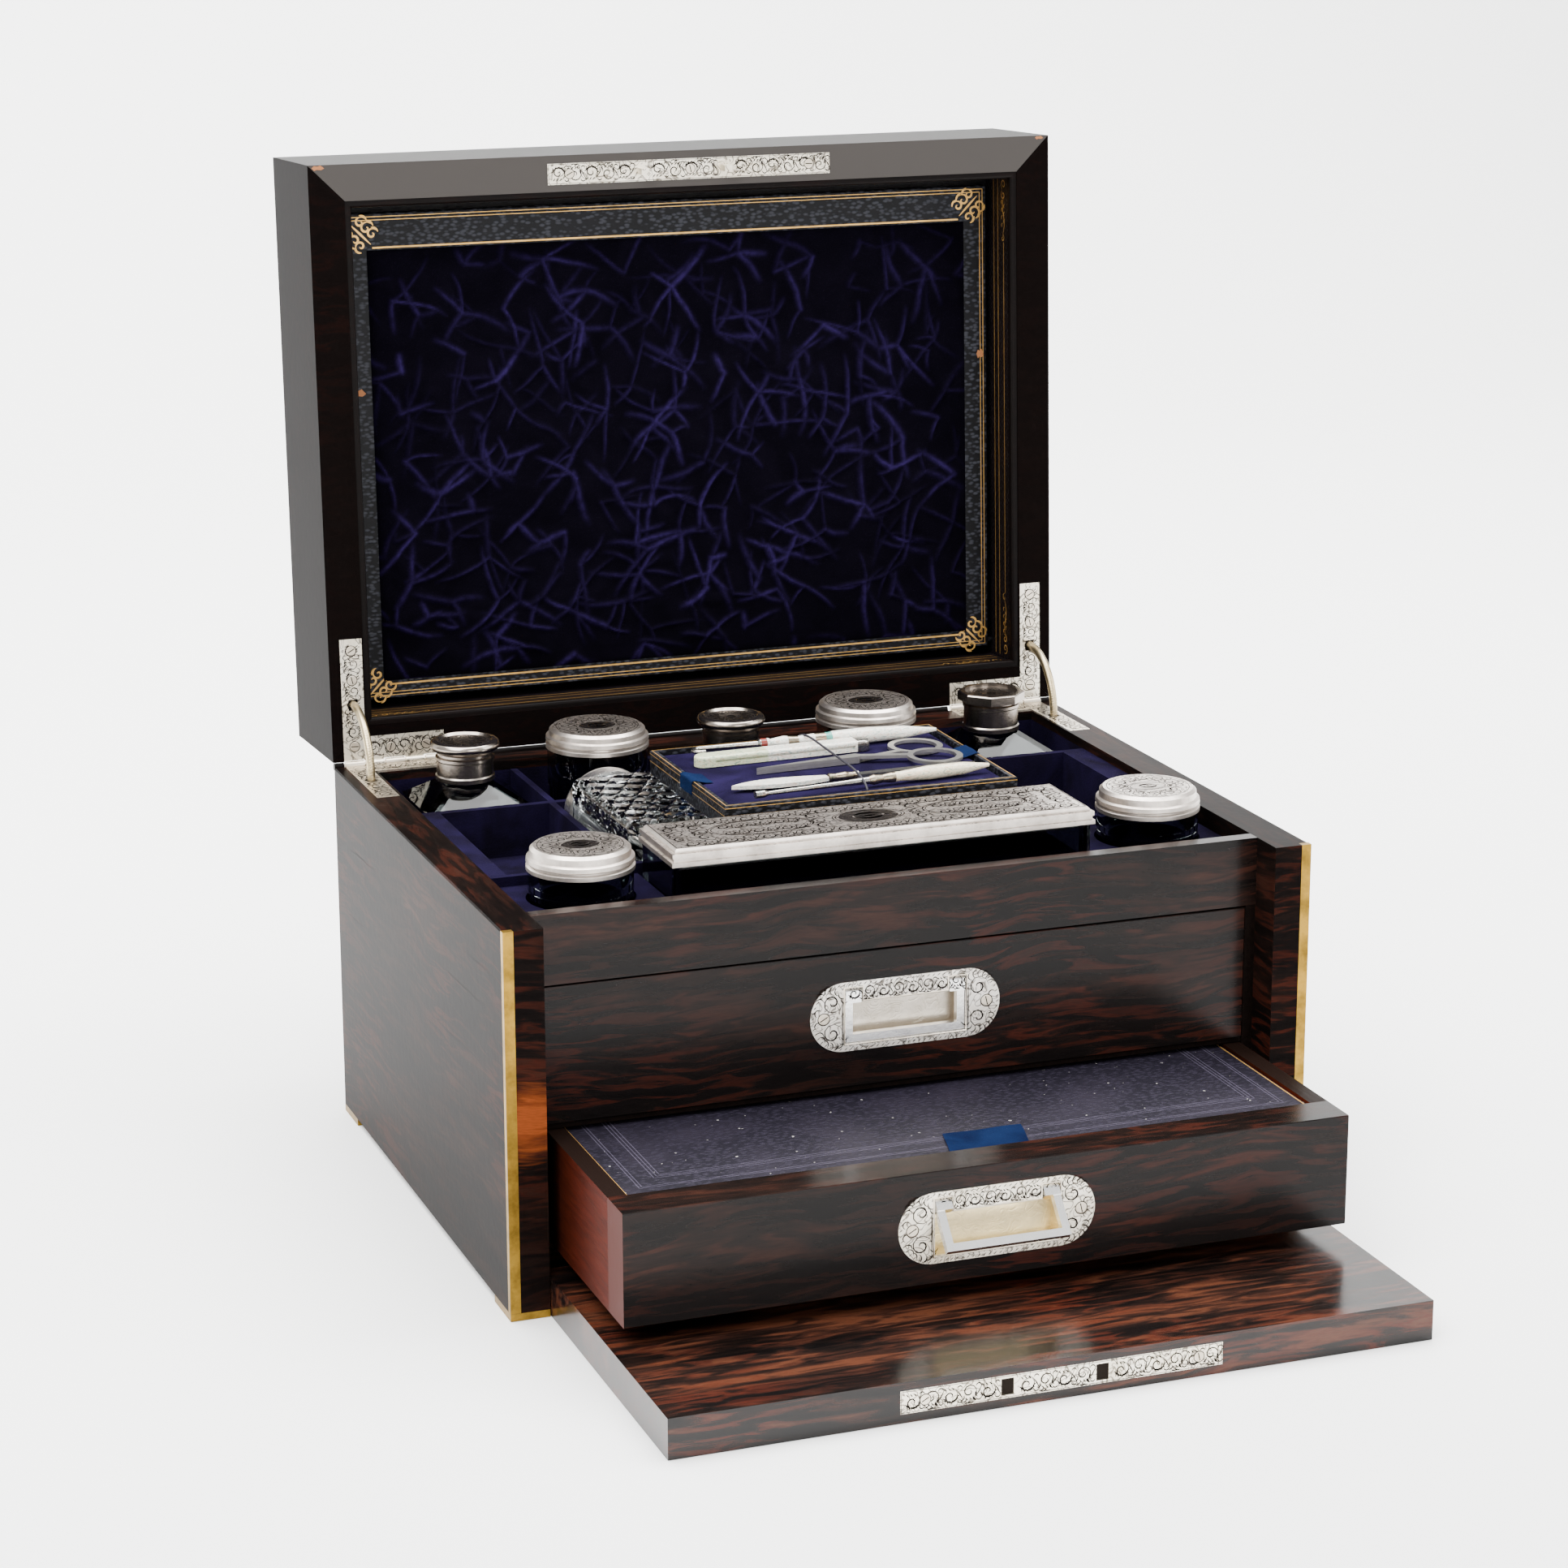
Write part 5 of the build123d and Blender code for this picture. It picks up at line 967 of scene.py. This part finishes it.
def padded_bed():
    """The tray's velvet bed, with a soft top and rounded edges."""
    low, high = corners("tray_pad")
    columns, rows = 90, 70
    chance = random.Random(19)
    waves = [(chance.uniform(0.03, 0.12), chance.uniform(0.03, 0.12), chance.uniform(0, 6)) for _ in range(6)]
    points = []
    for y in np.linspace(low.y + 0.1, high.y - 0.1, rows):
        for x in np.linspace(low.x + 0.1, high.x - 0.1, columns):
            edge = min(x - low.x, high.x - x, y - low.y, high.y - y)
            swell = sum(math.sin(a * x + b * y + s) for a, b, s in waves) * 0.025
            points.append((x, y, high.z - 0.12 + swell - 1.6 * (1 - min(edge / 3.0, 1)) ** 2))
    made = cloth_grid("tray_velvet", points, columns, TRAY_VELVET, "manicure_tray")
    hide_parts("tray_pad")


def well_linings():
    """Velvet glued on the insides of the sides and back, down to the floor of the back wells."""
    inner_x, inner_y, stand = HALF_WIDTH - 16.0, BACK_Y - 14.0, 0.12
    front, top, bottom = 58.4, RIM_Z - 4.0, 76.0
    for name, (x0, y0), (x1, y1), wall in (
        ("left", (stand - inner_x, front), (stand - inner_x, inner_y), "side_left"),
        ("back", (stand - inner_x, inner_y - stand), (inner_x - stand, inner_y - stand), "back_panel"),
        ("right", (inner_x - stand, inner_y), (inner_x - stand, front), "side_right"),
    ):
        columns = 40
        points = [(x0 + (x1 - x0) * i / (columns - 1), y0 + (y1 - y0) * i / (columns - 1), z)
                  for z in np.linspace(bottom, top, 12) for i in range(columns)]
        made = cloth_grid(f"well_lining_{name}", points, columns, VELVET, "case")
        made.data.flip_normals()


def ribbon(name, profile, width, place, body, replaced=None):
    """A silk ribbon: a side profile of (forward, up) points in mm, with soft ripples across it."""
    across = 14
    points = []
    for i, (forward, up) in enumerate(profile):
        for share in np.linspace(0, 1, across):
            points.append(place((share - 0.5) * width, forward, up + 0.12 * math.sin(share * 9 + i * 0.8)))
    made = cloth_grid(name, points, across, SILK, body)
    if replaced:
        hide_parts(replaced)


def ribbons():
    """The silk pull of the leather board, and one at each end of the manicure tray."""
    low, high = corners("silk_tab")
    middle = (low.x + high.x) / 2
    rises = (0.1, 0.2, 0.35, 0.5, 0.6, 0.65, 0.6, 0.5, 0.35, 0.2)
    tab = [(20 * i / 9, rise) for i, rise in enumerate(rises)]
    top = corners("leather_board")[1].z + 0.25
    ribbon("board_tab", tab, 33.0, lambda u, f, h: Vector((middle + u + f * 0.25, low.y + f, top + h)),
           "lower_drawer", "silk_tab")
    tray_low, tray_high = corners("tray_case")
    for name, edge, way in (("left", tray_low.x, 1), ("right", tray_high.x, -1)):
        pull = [(9.0, -1.0), (6.0, -0.7), (3.0, 0.1), (1.6, 0.5), (0.0, 0.45), (-0.3, -0.2)]
        pull += [(-0.35, -1.0 - i * 1.6) for i in range(4)]
        ribbon(f"tray_pull_{name}", pull, 15.0,
               lambda u, f, h: Vector((edge + way * f, 6.0 - way * u, tray_high.z + h)),
               "manicure_tray")


# The cord's route over the tools and its thickness, in metres
CORD_ROUTE = ((0.014, 0.048, 0.1717), (0.014, 0.0445, 0.17775), (0.0135, 0.008, 0.17725),
              (0.013, -0.034, 0.17675), (0.013, -0.0375, 0.1717))
CORD_WIDTH = 0.001


def tying_cord():
    """The thin silk cord that holds the tools down, with both ends tucked under the pad's edge."""
    curve = bpy.data.curves.new("tool_cord", "CURVE")
    curve.dimensions = "3D"
    curve.bevel_depth = CORD_WIDTH / 2
    curve.bevel_resolution = 3
    curve.use_fill_caps = True
    spline = curve.splines.new("NURBS")
    spline.points.add(len(CORD_ROUTE) - 1)
    for point, spot in zip(spline.points, CORD_ROUTE):
        point.co = (*spot, 1.0)
    spline.order_u = 3
    spline.use_endpoint_u = True
    spline.resolution_u = 12
    curve.materials.append(CORD_SILK)
    cord = settled("tool_cord", curve, "manicure_tray")
    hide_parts("tying_cord")


stay_ropes()
padded_bed()
well_linings()
ribbons()
tying_cord()


# ---------------------------------------------------------------- beads, chips and cracks


def back_bead():
    """The polished strip in the joint behind the open lid, between the hinges and beside them."""
    radius = 1.57
    for name, start, end in (("middle", -118.5, 118.5), ("left", -169.8, -165.4), ("right", 165.4, 169.8)):
        wire(f"back_bead_{name}", [[(start, PIVOT_Y, PIVOT_Z), (end, PIVOT_Y, PIVOT_Z)]], radius,
             BEAD_WOOD, "case")


def chip(name, place, long, tall, body, slot):
    """A ragged patch of bare wood where the edge has broken away."""
    rough = ((-0.5, 0.0), (-0.3, 0.42), (-0.05, 0.3), (0.2, 0.5),
             (0.5, -0.1), (0.25, -0.4), (-0.1, -0.3), (-0.3, -0.5))
    form = bmesh.new()
    form.faces.new([form.verts.new(place(u * long, v * tall)) for u, v in reversed(rough)])
    finished(name, form, CHIPPED, body)


def wear():
    """Chips at the lid's arrises and in the leather, and fine shrinkage cracks in the left side."""
    for name, (x, y), depth, size, body, slot in (
        ("left_corner", (-165.5, -127.3), 0.0, (5.5, 2.2), "lid", "ebony_veneer"),
        ("right_corner", (165.5, -127.6), 0.0, (4.0, 1.6), "lid", "ebony_veneer"),
        ("panel_left", (-145.3, -28.2), PANEL_DEPTH, (6.5, 3.6), "lid_panel", "morocco"),
        ("panel_right", (147.2, -29.1), PANEL_DEPTH, (3.6, 4.4), "lid_panel", "morocco"),
    ):
        chip(f"chip_{name}", lambda u, v: opened(x + u, y - v, LID_Z + depth - 2 * LIFT), *size, body, slot)
    side = on_flat((-HALF_WIDTH, 0, 0), (0, -1, 0), (0, 0, 1))
    chance = random.Random(23)
    cracks = []
    for middle, z, length in ((92, 134, 36), (74, 118, 52), (60, 92, 40), (78, 66, 48), (95, 40, 30),
                              (20, 28, 46), (-82, 127, 44), (-98, 96, 32)):
        cracks.append([(middle + length * (i / 8 - 0.5), z + 0.2 * i + chance.uniform(-0.35, 0.35))
                       for i in range(9)])
    strokes("side_cracks", cracks, side, 0.3, CRACK, "case")


back_bead()
wear()


# ---------------------------------------------------------------- stage


def stage():
    """A pale floor that curves up into a white backdrop, and soft light."""
    material, _ = new_finish("pale_floor", base="#f6f6f5", roughness=0.8, specular=0.15)
    front, back, side, top, bend = -4.0, 1.6, 5.0, 4.0, 1.2
    profile = [(front, 0.0), (back, 0.0)]
    profile += [(back + bend * math.sin(a), bend - bend * math.cos(a))
                for a in np.linspace(0, math.pi / 2, 17)[1:]]
    profile.append((back + bend, top))
    form = bmesh.new()
    rows = [[form.verts.new((x, y, z - 0.0002)) for x in (-side, side)] for y, z in profile]
    for (a, b), (c, d) in zip(rows, rows[1:]):
        form.faces.new((a, b, d, c))
    mesh = bpy.data.meshes.new("backdrop")
    form.to_mesh(mesh)
    form.free()
    mesh.materials.append(material)
    sweep = bpy.data.objects.new("backdrop", mesh)
    SCENE.collection.objects.link(sweep)
    for name, place, aim, size, power in (
        ("key", (-1.5, -1.1, 2.2), (0, 0, 0.1), 1.6, 110),
        ("top", (0.3, 0.3, 2.6), (0, 0.1, 0.1), 2.4, 130),
        ("right_fill", (2.2, -0.8, 1.3), (0, 0, 0.15), 1.4, 45),
        ("front_fill", (0.4, -2.6, 1.0), (0, 0, 0.15), 1.2, 26),
        ("backdrop_light", (0, 0.9, 2.6), (0, 2.8, 0.6), 3.0, 260),
    ):
        lamp = bpy.data.lights.new(name, "AREA")
        lamp.size = size
        lamp.energy = power
        made = bpy.data.objects.new(name, lamp)
        made.location = place
        made.rotation_mode = "QUATERNION"
        made.rotation_quaternion = (Vector(aim) - Vector(place)).to_track_quat("-Z", "Y")
        SCENE.collection.objects.link(made)
    world = bpy.data.worlds.new("studio")
    world.use_nodes = True
    world.node_tree.nodes["Background"].inputs["Color"].default_value = linear("#f4f5f6")
    world.node_tree.nodes["Background"].inputs["Strength"].default_value = 1.1
    SCENE.world = world


def camera():
    """The photograph's camera, fitted to the box's own corners."""
    position = Vector((-0.5633, -1.4935, 0.5977))
    look = Vector((0.33558, 0.90512, -0.26105)).normalized()
    up = Vector((0.09288, 0.24398, 0.96532))
    right = look.cross(up).normalized()
    data = bpy.data.cameras.new("photo_camera")
    data.sensor_width = 36.0
    data.lens = 90.75
    made = bpy.data.objects.new("photo_camera", data)
    turned = Matrix((right, right.cross(look), -look)).transposed()
    made.matrix_world = Matrix.Translation(position) @ turned.to_4x4()
    SCENE.collection.objects.link(made)
    SCENE.camera = made


stage()
camera()
